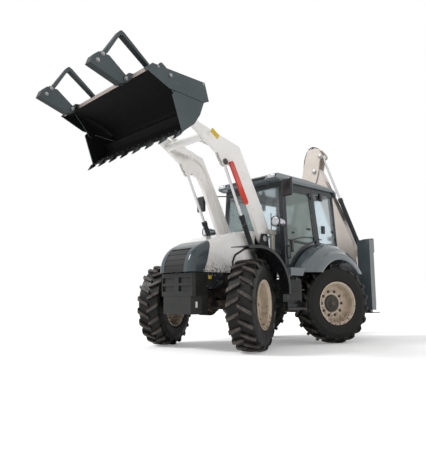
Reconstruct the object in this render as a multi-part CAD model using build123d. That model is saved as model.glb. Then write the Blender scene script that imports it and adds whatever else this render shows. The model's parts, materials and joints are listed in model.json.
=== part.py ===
"""Backhoe loader: four equal steered wheels, clam bucket with flip-over forks, side-shift backhoe.

Millimetres. While a piece is modelled, X runs forward from the rear axle, Y to the machine's
left and Z up from the ground. emit() then moves every piece so that the origin lies on the
ground under the middle of the whole machine.
"""
import os
from math import atan2, cos, degrees, hypot, radians, sin, sqrt, tan

from build123d import *

os.makedirs("parts", exist_ok=True)

# ---- overall ------------------------------------------------------------------------------
ORIGIN_X = 1560              # middle of the machine's length, ahead of the rear axle
RUN = 0.3                    # running clearance of a pin in its bore, and of faces that slide
GAP = 6                      # clear gap beside anything that swings

# ---- wheels and axles ---------------------------------------------------------------------
WHEELBASE = 2220
TYRE_R = 700
TYRE_W = 420
LUG_HEIGHT = 42
LUGS_PER_SIDE = 20
RIM_R = 381
RIM_W = 400
BEAD_IN, BEAD_OUT = RIM_W / 2 - 42.2, RIM_W / 2 - 14.4     # the tyre's beads inside the rim's flanges
HUB_R = 150
KINGPIN_Y = 800
WHEEL_OFFSET = 190           # wheel centre outboard of its kingpin
FRONT_STEER = 25             # the front wheels stand turned to the left
REAR_STEER = -19             # and the rear wheels to the right
YOKE_H = 105                 # half the height between a yoke's lugs

# ---- frame --------------------------------------------------------------------------------
RAIL_Y = 230
RAIL_W = 70
RAIL_Z0, RAIL_Z1 = 640, 940
HOOD_HALF = 398
HOOD_HINGE = (1200, 1940)      # rod through the back of the bonnet (X, Z)
HOOD_HINGE_R = 10
NOSE_HALF = 418
GRILLE_HALF, GRILLE_LOW, GRILLE_PITCH = 245, 1238, 88
FRONT_X = 2850               # front face of the counterweight

# ---- loader -------------------------------------------------------------------------------
LIFT = (1330, 1820)          # arm pivot (X, Z)
BUCKET_PIN = (3170, 3715)    # bucket hinge on the arm tips
ARM_Y0, ARM_Y1 = 435, 505    # inner and outer face of each arm
LIFT_RAM_Y = 470
LIFT_RAM_BASE = (1300, 1050)
LIFT_RAM_EYE = (2235, 3033)
LIFT_RAM_R = 44
LIFT_EYE_HALF = 25
TILT_RAM_Y = 368
TILT_RAM_BASE = (2240, 3330)
TILT_RAM_R = 38
TILT_EYE_HALF = 42
TILT_EYE_R, TILT_EYE_ANGLE = 300, 56.8
TOWER_IN, TOWER_OUT, TOWER_T = 405, 520, 14
PIN_R = 30
BLIND_END = 62               # from a ram's base pin to its rod's tail, fully drawn in
BORE_SPARE = 8               # bore left beyond that tail

# ---- bucket, in its own level axes: U forward from the cutting edge, W up -------------------
BUCKET_TOE = (3710, 3050)
BUCKET_DUMP = -43.8          # pitch of the bucket as it stands
BUCKET_HALF = 1195
CLAM_PIVOT = (-346, 678)
CLAM_EYE = (-328, 846)
CLAM_RAM_BASE = (-812, 300)
FORK_Y = 742
FORK_HINGE = (20, 950)
TINE_PIVOT = (108, 1369)

# ---- cab ----------------------------------------------------------------------------------
CAB_FRONT, CAB_REAR = 1080, -560
CAB_LOW, CAB_TOP = 1240, 2850
CAB_HALF_LOW, CAB_HALF_TOP = 790, 700
CAB_WALL = 45
DOOR_GAP = 7
GLASS_T = 6
ARCH_R = 1090                # round the rear wheels, the edge of doors and cab panels
WHEELHOUSE_R = 800

# ---- backhoe: side view in (R, Z), where R runs out from the slew axis ----------------------
SLEW_X, SLEW_Y = -1520, 680
BOOM_FOOT = (230, 1000)
DIPPER_PIN = (1010, 3620)
HOE_PIN = (1800, 1450)
CROWD_BASE, CROWD_EYE = (-20, 1750), (840, 3950)
BOOM_BASE, BOOM_EYE = (370, 700), (700, 2080)
CURL_BASE, CURL_EYE = (1480, 3330), (2025, 1749)
CURL_EYE_HALF = 49.7
TIPPING_PIN = (1700, 1760)
BUCKET_EAR = (2023, 1369)
BOOM_LOWER = 40              # how far the boom swings down from where it is parked
STAB_Y0, STAB_Y1 = 880, 1150


# ---- small shapes ---------------------------------------------------------------------------
def block(x, y, z):
    """Box between two corners, each argument a (low, high) pair."""
    size = [high - low for low, high in (x, y, z)]
    return Pos((x[0] + x[1]) / 2, (y[0] + y[1]) / 2, (z[0] + z[1]) / 2) * Box(*size)


def outline(points):
    """Face inside straight lines through the points."""
    return make_face(Polyline(*points, close=True))


def side_plate(face, y0, y1):
    """Face drawn in (X, Z), from y0 to y1 across the machine."""
    return extrude(Plane.XZ.offset(-y1) * face, y1 - y0)


def cross_bar(point, y0, y1, radius, bore=0):
    """Round bar or bush along Y at an (X, Z) point."""
    bar = Cylinder(radius, y1 - y0)
    if bore:
        bar -= Cylinder(bore, y1 - y0 + 2)
    return Pos(point[0], (y0 + y1) / 2, point[1]) * Rot(90, 0, 0) * bar


def rod(start, end, radius, bore=0):
    """Round bar between two points in space."""
    along = Vector(*end) - Vector(*start)
    place = Plane(origin=start, z_dir=along)
    bar = Cylinder(radius, along.length, align=(Align.CENTER, Align.CENTER, Align.MIN))
    if bore:
        bar -= Cylinder(bore, along.length + 2, align=(Align.CENTER, Align.CENTER, Align.MIN))
    return place * bar


def both(shape):
    """The shape and its mirror image on the machine's other side."""
    return shape + mirror(shape, Plane.XZ)


def link_face(a, b, ra, rb):
    """Side view of a plate with round ends of radius ra at a and rb at b."""
    along = Vector(b[0] - a[0], b[1] - a[1])
    turn = degrees(atan2(along.Y, along.X))
    half = degrees(atan2(rb - ra, along.length))
    ends = []
    for centre, radius in ((a, ra), (b, rb)):
        for side in (90 + half, -90 - half):
            angle = radians(turn + side)
            ends.append((centre[0] + radius * cos(angle), centre[1] + radius * sin(angle)))
    body = outline([ends[0], ends[2], ends[3], ends[1]])
    return body + Pos(*a) * Circle(ra) + Pos(*b) * Circle(rb)


def polar(centre, radius, angle):
    """Point at a radius and an angle in degrees from a centre."""
    return centre[0] + radius * cos(radians(angle)), centre[1] + radius * sin(radians(angle))


def between(a, b, share):
    """Point a share of the way from a to b."""
    return a[0] + share * (b[0] - a[0]), a[1] + share * (b[1] - a[1])


def ram(base, eye, y, radius, rod_radius, barrel_length, draws_in, eye_half):
    """Barrel and rod of a hydraulic cylinder in a side view; the rod still draws in by draws_in."""
    length = hypot(eye[0] - base[0], eye[1] - base[1])
    gland = barrel_length / length
    barrel = rod(at(base, eye, 0, y), at(base, eye, gland, y), radius)
    barrel += rod(at(base, eye, gland - 60 / length, y), at(base, eye, gland + 12 / length, y), radius + 7)
    barrel += cross_bar(base, y - radius, y + radius, radius + 4)
    barrel -= cross_bar(base, y - radius - 9, y + radius + 9, PIN_R + RUN)
    tail = (BLIND_END + draws_in) / length
    piston = rod(at(base, eye, tail, y), at(base, eye, 1, y), rod_radius)
    bore_end = (BLIND_END - BORE_SPARE) / length
    barrel -= rod(at(base, eye, bore_end, y), at(base, eye, gland + 0.2, y), rod_radius + RUN)
    piston += cross_bar(eye, y - eye_half, y + eye_half, radius)
    return barrel, piston


def at(a, b, share, y):
    """Point in space a share of the way from a to b, in the side view at y."""
    x, z = between(a, b, share)
    return x, y, z


def emit(name, shape):
    """Write one piece, moved to the machine's own origin."""
    export_step(Pos(-ORIGIN_X, 0, 0) * shape, f"parts/{name}.step")


# ---- wheels -----------------------------------------------------------------------------------
def wheel_place(axle_x, side, steer):
    """Where a wheel stands: its outer face is local +Y, its kingpin at -WHEEL_OFFSET."""
    turn = 0 if side > 0 else 180
    return Pos(axle_x, side * KINGPIN_Y, TYRE_R) * Rot(0, 0, steer + turn) * Pos(0, WHEEL_OFFSET, 0)


def tyre():
    """Tyre with two rows of lugs that meet in a V at the middle of the tread."""
    half = TYRE_W / 2
    base_r = TYRE_R - LUG_HEIGHT
    section = outline([
        (-BEAD_IN, RIM_R - 27), (-BEAD_OUT, RIM_R - 13.6), (-BEAD_OUT, RIM_R + 2),
        (-half + 8, RIM_R + 40), (-half, 530), (-half + 14, 620),
        (-half + 44, base_r - 6), (0, base_r), (half - 44, base_r - 6), (half - 14, 620),
        (half, 530), (half - 8, RIM_R + 40), (BEAD_OUT, RIM_R + 2), (BEAD_OUT, RIM_R - 13.6),
        (BEAD_IN, RIM_R - 27),
    ])
    carcass = revolve(Plane.YZ * section, Axis.Y)
    pitch = 360 / LUGS_PER_SIDE
    bar = outline([(-18, -10), (24, -10), (70, 70), (150, half), (92, half), (22, 82)])
    lug = extrude(Plane.XY.offset(base_r - 70) * bar, 70 + LUG_HEIGHT + 30)
    lugs = []
    for i in range(LUGS_PER_SIDE):
        lugs.append(Rot(0, i * pitch, 0) * lug)
        lugs.append(Rot(0, (i + 0.5) * pitch, 0) * mirror(lug, Plane.XZ))
    tread = outline([
        (-half + 4, 590), (-half, 632), (-half + 22, TYRE_R - 14), (-half + 60, TYRE_R - 3),
        (0, TYRE_R), (half - 60, TYRE_R - 3), (half - 22, TYRE_R - 14), (half, 632),
        (half - 4, 590),
    ])
    band = revolve(Plane.YZ * tread, Axis.Y)
    return carcass + [lug & band for lug in lugs]


def rim():
    """Dished steel rim with the axle's hub in the middle."""
    half = RIM_W / 2
    wall = 14
    section = outline([
        (-half, RIM_R), (-half, RIM_R - 26), (-half + 30, RIM_R - 44), (-30, RIM_R - 44),
        (-20, 250), (-20, HUB_R - 12), (12, HUB_R - 12), (12, 262), (10, RIM_R - 58), (40, RIM_R - 48),
        (half - 40, RIM_R - 48), (half, RIM_R - 20), (half, RIM_R), (half - wall, RIM_R),
        (half - wall, RIM_R - 14), (half - 42, RIM_R - 27.5), (-half + 42, RIM_R - 27.5),
        (-half + wall, RIM_R - 14), (-half + wall, RIM_R),
    ])
    wheel = revolve(Plane.YZ * section, Axis.Y)
    hub = outline([
        (-110, 0), (-110, 118), (-60, 128), (-60, HUB_R), (28, HUB_R), (44, HUB_R - 18), (52, 96),
        (60, 90), (60, 0),
    ])
    wheel += revolve(Plane.YZ * hub, Axis.Y)
    wheel -= Pos(0, -90 + RUN / 2, 0) * Rot(90, 0, 0) * Cylinder(60 + RUN, 60 + RUN)
    for i in range(10):
        wheel += Rot(0, i * 36, 0) * Pos(0, 22, 215) * Rot(90, 0, 0) * Cylinder(14, 26)
    return wheel


def knuckle():
    """Steering knuckle: barrel on the kingpin, arm and spindle."""
    body = Cylinder(66, 2 * YOKE_H - 2 * RUN)
    body += Pos(0, 65, 0) * Rot(90, 0, 0) * Cylinder(60, 130)
    body += Pos(0, 66, 0) * Rot(90, 0, 0) * Cylinder(95, 24)
    body += block((-30, 150), (-28, 28), (-24, 24))
    body -= Cylinder(32 + RUN, 2 * YOKE_H + 10)
    return Pos(0, -WHEEL_OFFSET, 0) * body


def axle(x):
    """Steering axle: beam with the differential in it, yokes and kingpins."""
    yoke_in = KINGPIN_Y - 115
    beam = block((x - 75, x + 75), (-yoke_in, yoke_in), (TYRE_R - 70, TYRE_R + 70))
    beam += Pos(x, 0, TYRE_R) * Rot(90, 0, 0) * Cylinder(175, 220)
    beam += Pos(x, 0, TYRE_R) * Rot(90, 0, 0) * Cylinder(120, 420)
    for side in (-1, 1):
        y = side * KINGPIN_Y
        beam += block((x - 80, x + 80), sorted((side * (yoke_in - 30), side * yoke_in)),
                      (TYRE_R - YOKE_H - 40, TYRE_R + YOKE_H + 40))
        for up in (-1, 1):
            lug = link_face((0, 0), (0, side * 100), 70, 78)
            z = TYRE_R + up * (YOKE_H + 20)
            beam += extrude(Plane((x, y - side * 100, z - 20)) * lug, 40)
        beam += Pos(x, y, TYRE_R) * Cylinder(32, 2 * YOKE_H + 96)
    return beam


def wheels():
    """Four wheels, each a knuckle, a rim and a tyre."""
    shapes = {"knuckle": knuckle(), "rim": rim(), "tyre": tyre()}
    for end, x, steer in (("front", WHEELBASE, FRONT_STEER), ("rear", 0, REAR_STEER)):
        for side_name, side in (("left", 1), ("right", -1)):
            place = wheel_place(x, side, steer)
            for piece, shape in shapes.items():
                emit(f"{piece}_{end}_{side_name}", place * shape)


# ---- main frame ---------------------------------------------------------------------------------
def chassis():
    """Two box rails, cross members, axle saddles and the loader towers."""
    rail = block((-1030, FRONT_X - 120), (RAIL_Y, RAIL_Y + RAIL_W), (RAIL_Z0, RAIL_Z1))
    for x in (0, WHEELBASE):
        rail -= cross_bar((x, TYRE_R), RAIL_Y - 5, RAIL_Y + RAIL_W + 5, 120 + RUN)
        rail -= block((x - 121, x + 121), (RAIL_Y - 5, RAIL_Y + RAIL_W + 5), (RAIL_Z0 - 5, TYRE_R))
    rail -= block((-1031, -1006), (RAIL_Y - 5, RAIL_Y + RAIL_W + 5), (RAIL_Z0 - 5, 667))
    frame = both(rail)
    for x in (-1000, -500, 420, 1700, 2600):
        frame += block((x - 30, x + 30), (-RAIL_Y - 5, RAIL_Y + 5), (RAIL_Z0 + 40, RAIL_Z1 - 40))
    for x in (0, WHEELBASE):
        saddle = block((x - 130, x + 130), (-RAIL_Y - 5, RAIL_Y + 5), (TYRE_R + 175 + RUN, RAIL_Z1))
        frame += saddle
    plate = outline([(1120, 900), (1560, 900), (1480, 1300), (1440, 1800), (1400, 1905),
                     (1250, 1905), (1180, 1500)])
    base = outline([(1150, 900), (1560, 900), (1500, 960), (1200, 960)])
    tower = side_plate(plate, TOWER_IN, TOWER_IN + TOWER_T)
    tower += side_plate(plate, TOWER_OUT, TOWER_OUT + TOWER_T)
    tower += side_plate(outline([(1120, 900), (1560, 900), (1556, 925), (1124, 925)]),
                        RAIL_Y + RAIL_W - 5, TOWER_OUT + TOWER_T)
    tower += side_plate(outline([(1120, 900), (1140, 900), (1262, 1740), (1240, 1740)]),
                        TOWER_IN, TOWER_OUT + TOWER_T)
    for point in (LIFT, LIFT_RAM_BASE):
        tower += cross_bar(point, TOWER_IN, TOWER_OUT + TOWER_T + 8, PIN_R)
    lug = link_face(HOOD_HINGE, (1290, 1870), 22, 34)
    tower += side_plate(lug, TOWER_IN, TOWER_IN + TOWER_T)
    frame += both(tower)
    return frame + cross_bar(HOOD_HINGE, -TOWER_IN - TOWER_T, TOWER_IN + TOWER_T, HOOD_HINGE_R)


def counterweight():
    """Cast block with four pockets in its front face and chamfered lower corners."""
    top_z, low_z, foot_z = 1200, 880, 560
    plan = outline([(2560, -NOSE_HALF), (FRONT_X - 40, -NOSE_HALF), (FRONT_X, -NOSE_HALF + 40),
                    (FRONT_X, NOSE_HALF - 40), (FRONT_X - 40, NOSE_HALF), (2560, NOSE_HALF)])
    upper = extrude(Plane.XY.offset(low_z - 40) * plan, top_z - low_z + 40)
    lower_plan = outline([(2560, -NOSE_HALF), (2680, -NOSE_HALF), (FRONT_X - 8, -340),
                          (FRONT_X - 8, 340), (2680, NOSE_HALF), (2560, NOSE_HALF)])
    lower = extrude(Plane.XY.offset(foot_z) * lower_plan, low_z - foot_z)
    weight = upper + lower
    for y in (-205, 205):
        for z in (960, 1090):
            weight -= block((FRONT_X - 30, FRONT_X + 5), (y - 150, y + 150), (z - 45, z + 45))
    rails = RAIL_Y + RAIL_W + RUN
    weight -= block((2400, FRONT_X - 120 + RUN), (-rails, rails), (RAIL_Z0 - RUN, RAIL_Z1 + RUN))
    return weight


def engine():
    """Engine and gearbox as one plain block between the rails."""
    power = block((1480, 2380), (-290, 290), (RAIL_Z1 + RUN, 1560))
    return power + block((500, 1490), (-RAIL_Y + RUN, RAIL_Y - RUN), (700, 1120))


def fender_brace(top_x):
    """Bent tube from the front axle's yoke to the underside of a front fender."""
    foot_z = TYRE_R + YOKE_H + 40 + RUN
    path = [(WHEELBASE + 40, 670, foot_z + 8), (WHEELBASE + 53, 690, 1241), (WHEELBASE + 53, 690, 1378),
            (WHEELBASE + 9, 700, 1478), (top_x, 880, 1568), (top_x, 1190, 1568)]
    tube = block((WHEELBASE + 5, WHEELBASE + 75), (650, 685), (foot_z, foot_z + 12))
    for start, end in zip(path, path[1:]):
        tube += rod(start, end, 17) + Pos(*end) * Sphere(17)
    return tube


def front_fender(front_x, brace_x):
    """Curved fender over the left front wheel, ending at front_x, with its brace."""
    back = ThreePointArc((1480, 860), (1640, 1350), (2130, 1590))
    front = ThreePointArc((2130, 1590), (2480, 1570), (2810, 1480))
    fender = side_plate(trace(back, 14) + trace(front, 14), 800, 1200)
    skirt = trace(ThreePointArc((1498, 862), (1655, 1340), (2130, 1573)), 44)
    skirt += trace(ThreePointArc((2130, 1573), (2480, 1553), (2806, 1464)), 44)
    fender += side_plate(skirt, 1186, 1200)
    fender -= block((1300, 1700), (700, 1000), (700, 1230))
    fender -= block((front_x, 2900), (700, 1300), (1400, 1700))
    return fender + fender_brace(brace_x)


def front_fenders():
    """The left fender reaches further forward than the right one."""
    return front_fender(2415, 2190) + mirror(front_fender(2080, 2050), Plane.XZ)


def rear_fenders():
    """Bulging moulding round each rear wheel: ridge, step and lip turned about the wheel."""
    inner_y = 800
    skin = outline([
        (565, WHEELHOUSE_R), (1160, WHEELHOUSE_R - 15), (1182, WHEELHOUSE_R - 20),
        (1188, WHEELHOUSE_R + 10), (1170, 890), (1135, 925), (1120, 930), (1085, 990),
        (1020, 1045), (940, ARCH_R - 18), (inner_y, ARCH_R - 12), (inner_y, WHEELHOUSE_R + 15 - RUN),
        (565, WHEELHOUSE_R + 15 - RUN),
    ])
    hollow = outline([
        (inner_y + 14, WHEELHOUSE_R + 12), (1150, WHEELHOUSE_R), (1170, WHEELHOUSE_R + 8),
        (1154, 882), (1110, 918), (1072, 978), (1014, 1031), (938, ARCH_R - 33),
        (inner_y + 14, ARCH_R - 26),
    ])
    ring = revolve(Plane.YZ * skin, Axis.Y) - revolve(Plane.YZ * hollow, Axis.Y)
    ring = Pos(0, 0, TYRE_R) * ring
    keep = block((-960, 960), (500, 1250), (1235, 1900))
    fender = ring & keep
    sill = block((620, 1290), (802, 1060), (1170, 1300)) - block((630, 1280), (815, 1047), (1160, 1288))
    sill -= cross_bar((0, TYRE_R), 500, 1300, WHEELHOUSE_R + 14)
    sill -= cross_bar((0, TYRE_R), 795, 1200, ARCH_R - 13)
    fender += sill
    return both(fender)


# ---- hood ---------------------------------------------------------------------------------------
NOSE_SPLIT = [(2735, 1000), (2640, 1215), (2560, 1400), (2475, 1760), (2400, 2100)]
HOOD_TOP = [(1160, 1985), (1600, 1949), (2000, 1878), (2640, 1659), (2905, 1215)]
HOOD_WALL = 8
SHOULDER_R = 90


def bonnet_body(half, shoulder, inset):
    """Solid under the bonnet's top line with rounded shoulders, inset from its outside."""
    back, _, crest, brow, foot = HOOD_TOP
    top = ThreePointArc(*HOOD_TOP[:3])
    slope = TangentArc(crest, brow, tangent=top % 1)
    front = TangentArc(brow, foot, tangent=slope % 1)
    face = make_face(top + slope + front + Polyline(foot, (back[0], foot[1]), back))
    if inset:
        face = offset(face, -inset)
    solid = side_plate(face, -half + inset, half - inset)
    return fillet(solid.edges().filter_by(GeomType.CIRCLE), shoulder - inset)


def ahead_of_seam(gap):
    """Everything in front of the seam between bonnet and nose."""
    return side_plate(outline([(x + gap, z) for x, z in NOSE_SPLIT] + [(3100, 2100), (3100, 1000)]), -500, 500)


def hood():
    """Bonnet shell, open below and behind, on its hinge rod."""
    room = bonnet_body(HOOD_HALF, SHOULDER_R, HOOD_WALL)
    shell = bonnet_body(HOOD_HALF, SHOULDER_R, 0) - room - Pos(0, 0, -30) * room - Pos(-30, 0, -30) * room
    return shell - ahead_of_seam(0) - cross_bar(HOOD_HINGE, -HOOD_HALF, HOOD_HALF, HOOD_HINGE_R + RUN)


def nose():
    """Nose cowl: hollow surround, grille of four slats and three vents in each side."""
    half, shoulder = NOSE_HALF, SHOULDER_R + NOSE_HALF - HOOD_HALF
    outer = bonnet_body(half, shoulder, 0)
    room = bonnet_body(half, shoulder, 10)
    cowl = outer - room - Pos(0, 0, -30) * room
    mouth = block((2500, 3000), (-GRILLE_HALF, GRILLE_HALF), (GRILLE_LOW, GRILLE_LOW + 4 * GRILLE_PITCH))
    back = bonnet_body(half, shoulder, 20)
    panel = room - back - Pos(0, 0, -30) * back
    slats = outer - room
    for i in range(4):
        low = GRILLE_LOW + i * GRILLE_PITCH
        slats -= block((2400, 3000), (-half, half), (low + GRILLE_PITCH - 14, low + GRILLE_PITCH))
    slats = bonnet_body(half, shoulder, 4) & slats
    cowl = (cowl - mouth) + (slats & mouth) + panel
    for i in range(3):
        vent = outline([(2700 + 26 * i, 1300 + 70 * i), (2740 + 20 * i, 1290 + 70 * i),
                        (2650 + 26 * i, 1345 + 70 * i), (2620 + 30 * i, 1340 + 70 * i)])
        cowl -= both(side_plate(vent, half - 6, half + 5))
    return cowl & ahead_of_seam(RUN)


# ---- cab ------------------------------------------------------------------------------------------
def cab_body(inset):
    """Tapering solid of the cab, inset from its outside."""
    low = Plane.XY.offset(CAB_LOW) * Pos((CAB_FRONT + CAB_REAR) / 2, 0) * Rectangle(
        CAB_FRONT - CAB_REAR - 2 * inset, 2 * (CAB_HALF_LOW - inset))
    top = Plane.XY.offset(CAB_TOP) * Pos((CAB_FRONT + CAB_REAR) / 2 - 8, 0) * Rectangle(
        CAB_FRONT - CAB_REAR - 90 - 2 * inset, 2 * (CAB_HALF_TOP - inset))
    return loft(Sketch() + [low, top])


DOOR_HINGE_LOW, DOOR_HINGE_TOP = (157, 1900), (222, 2740)      # hinge line down the B post (X, Z)
DOOR_HINGE_OUT = 16            # and how far it lies outside the cab's side
DOOR_HINGE_Z = (1850, 2680)


def cab_half(z):
    """Half the cab's width at a height."""
    return CAB_HALF_LOW - (CAB_HALF_LOW - CAB_HALF_TOP) * (z - CAB_LOW) / (CAB_TOP - CAB_LOW)


def hinge_point(z):
    """Point of the left door's hinge line at a height."""
    share = (z - DOOR_HINGE_LOW[1]) / (DOOR_HINGE_TOP[1] - DOOR_HINGE_LOW[1])
    return between(DOOR_HINGE_LOW, DOOR_HINGE_TOP, share)[0], cab_half(z) + DOOR_HINGE_OUT, z


def hinge_pin(z):
    """Fixed half of the left door's hinge: pin and bracket on the B post."""
    x, y, _ = hinge_point(z)
    part = rod(hinge_point(z - 60), hinge_point(z + 60), 8)
    part += block((x - 55, x - 12), (y - 36, y + 6), (z - 60, z - 24))
    return part + block((x - 20, x + 6), (y - 7, y + 6), (z - 60, z - 24))


def hinge_sleeve(z):
    """Swinging half of the left door's hinge: sleeve and strap onto the leaf."""
    x, y, _ = hinge_point(z)
    part = rod(hinge_point(z - 18), hinge_point(z + 48), 15)
    part += block((x + 3, x + 62), (y - 22, y + 6), (z - 18, z + 48))
    return part - rod(hinge_point(z - 90), hinge_point(z + 90), 8 + RUN)


def door_face(inset):
    """Side view of the door opening: front post, roof rail, B post and the arch round the wheel."""
    front_low, front_top = (1030 - inset, 1330 + inset), (985 - inset, 2745 - inset)
    rear_top, rear_low = (215 + inset, 2745 - inset), (135 + inset, 1700)
    face = outline([(250 + inset, 1330 + inset), front_low, front_top, rear_top, rear_low])
    return face - Pos(0, TYRE_R) * Circle(ARCH_R + 14 + inset)


def quarter_face(inset):
    """Side view of the rear quarter window."""
    face = outline([(15 - inset, 1700), (120 - inset, 2745 - inset), (-480 + inset, 2745 - inset),
                    (-525 + inset, 1700)])
    return face - Pos(0, TYRE_R) * Circle(ARCH_R + 24 + inset)


def front_window(inset):
    """Cross-section of the windscreen opening."""
    return outline([(-680 + inset, 1500 + inset), (680 - inset, 1500 + inset), (625 - inset, 2760 - inset),
                    (-625 + inset, 2760 - inset)])


def rear_window(inset):
    """Cross-section of the rear window opening."""
    return outline([(-670 + inset, 1850 + inset), (670 - inset, 1850 + inset), (620 - inset, 2740 - inset),
                    (-620 + inset, 2740 - inset)])


def wheelhouse_cut():
    """Space of the rear wheels under the cab."""
    return both(cross_bar((0, TYRE_R), 562, 900, WHEELHOUSE_R + 15))


def cab_frame():
    """Cab shell with door, quarter, front and rear openings, floor and rear wheel housings."""
    shell = cab_body(0) - cab_body(CAB_WALL)
    shell -= side_plate(door_face(0), -900, 900)
    shell -= side_plate(quarter_face(0), -900, 900)
    shell -= extrude(Plane.YZ.offset(CAB_FRONT - 200) * front_window(0), 400)
    shell -= extrude(Plane.YZ.offset(CAB_REAR - 200) * rear_window(0), 400)
    floor = block((CAB_REAR + 5, CAB_FRONT - 5), (-CAB_HALF_LOW + 6, CAB_HALF_LOW - 6), (CAB_LOW, CAB_LOW + 35))
    shell += floor & cab_body(0)
    wall = block((-560, 620), (540, 560), (CAB_LOW, 1500)) + side_plate(
        Pos(0, TYRE_R) * (Circle(WHEELHOUSE_R + 22) - Circle(WHEELHOUSE_R + 15)), 540, CAB_HALF_LOW - 10)
    wall &= block((-560, 620), (530, 800), (CAB_LOW, 1600))
    shell -= wheelhouse_cut()
    shell += both(wall)
    for x in (-450, 900):
        for side in (-1, 1):
            shell += block((x - 60, x + 60), sorted((side * 230, side * 300)), (RAIL_Z1, CAB_LOW + 5))
    for z in DOOR_HINGE_Z:
        shell += both(hinge_pin(z))
    return shell


def cab_roof():
    """Roof cap that overhangs front and rear, with a visor for the work lamps."""
    seat = CAB_TOP + RUN
    side = outline([(-600, 2800), (-585, 2765), (-535, seat), (1080, seat), (1185, 2875), (1210, 2900),
                    (1190, 2975), (1120, 3000), (300, 2985), (-480, 2915), (-590, 2860)])
    section = outline([(-745, 2700), (745, 2700), (745, 2900), (690, 3010), (-690, 3010), (-745, 2900)])
    section = fillet(section.vertices().filter_by(lambda v: v.Y > 2800), 45)
    return side_plate(side, -745, 745) & extrude(Plane.YZ.offset(-700) * section, 2000)


def cab_glass():
    """Windscreen, rear window and quarter windows, each a thin pane in its opening."""
    mid = cab_body(18) - cab_body(18 + GLASS_T)
    panes = mid & extrude(Plane.YZ.offset(CAB_FRONT - 200) * front_window(1), 400)
    panes += mid & extrude(Plane.YZ.offset(CAB_REAR - 200) * rear_window(1), 400)
    panes += mid & both(side_plate(quarter_face(1), 500, 900))
    return panes


def cab_interior():
    """Seat, console, floor pedestal and steering wheel."""
    seat = block((60, 560), (-250, 250), (CAB_LOW + 35, 1560)) + block((60, 580), (-255, 255), (1560, 1680))
    back = side_plate(outline([(40, 1600), (170, 1640), (90, 2250), (-30, 2240)]), -240, 240)
    console = side_plate(outline([(820, CAB_LOW + 35), (1010, CAB_LOW + 35), (1010, 1700), (960, 1800), (840, 1780)]),
                         -200, 200)
    column = rod((850, 0, 1760), (760, 0, 2010), 35)
    wheel = Plane((755, 0, 2024), z_dir=(-90, 0, 250)) * (Torus(190, 17) + Box(380, 40, 20) + Cylinder(45, 30))
    side_console = block((-100, 500), (300, 420), (CAB_LOW + 35, 1780))
    side_console += block((-100, 500), (-420, -300), (CAB_LOW + 35, 1780))
    return seat + back + console + column + wheel + side_console


def door(side):
    """Door frame with its glass, cut from the cab's own wall, and two hinges on the B post."""
    shell = cab_body(0) - cab_body(34)
    half = block((-800, 1300), (0, 1000), (1200, 3000))
    leaf = (shell & half) & side_plate(door_face(DOOR_GAP), 400, 900)
    windows = door_face(DOOR_GAP + 42)
    rail = outline([(0, 1735), (1200, 1795), (1200, 1835), (0, 1775)])
    leaf -= side_plate(windows - rail, 400, 900)
    for z in DOOR_HINGE_Z:
        leaf += hinge_sleeve(z)
    for z in (1490, 1700):
        leaf += block((960, 985), (cab_half(z) - 10, 815), (z - 10, z + 10))
    leaf += block((960, 985), (800, 815), (1480, 1710))
    pane = (cab_body(12) - cab_body(12 + GLASS_T)) & half & side_plate(windows - rail, 400, 900)
    return leaf, pane


# ---- tanks, lamps, mirrors -------------------------------------------------------------------------
def side_tanks():
    """Tank and battery box between the wheels, each with a step."""
    body = outline([(870, 640), (1330, 640), (1350, 760), (1350, 1110), (850, 1110), (850, 720)])
    tank = side_plate(body, 560, 930)
    tank -= block((900, 1300), (900, 940), (700, 760))
    step = block((840, 1360), (925, 1030), (600, 628))
    for x in (846, 1340):
        step += block((x, x + 14), (925, 1030), (600, 740))
    hanger = block((1000, 1200), (RAIL_Y + RAIL_W + RUN, 562), (860, 895))
    tread = block((900, 1330), (925, 1030), (925, 945))
    return both(tank + step + hanger + tread)


def lamps_mirrors():
    """Front lamps on stalks, mirrors on arms and work lamps under the roof's visor."""
    lamp = rod((1000, 730, 2060), (1290, 860, 2075), 12) - cab_body(-RUN)
    lamp += rod((1270, 860, 2075), (1340, 860, 2075), 70)
    mirror_arm = rod((980, 640, 2790), (1330, 1060, 2790), 11) - cab_body(-RUN)
    mirror_arm += block((1325, 1385), (975, 1185), (2490, 2800))
    work = block((1140, 1190), (500, 650), (2862, 2872))
    return both(lamp) + both(mirror_arm)


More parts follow.
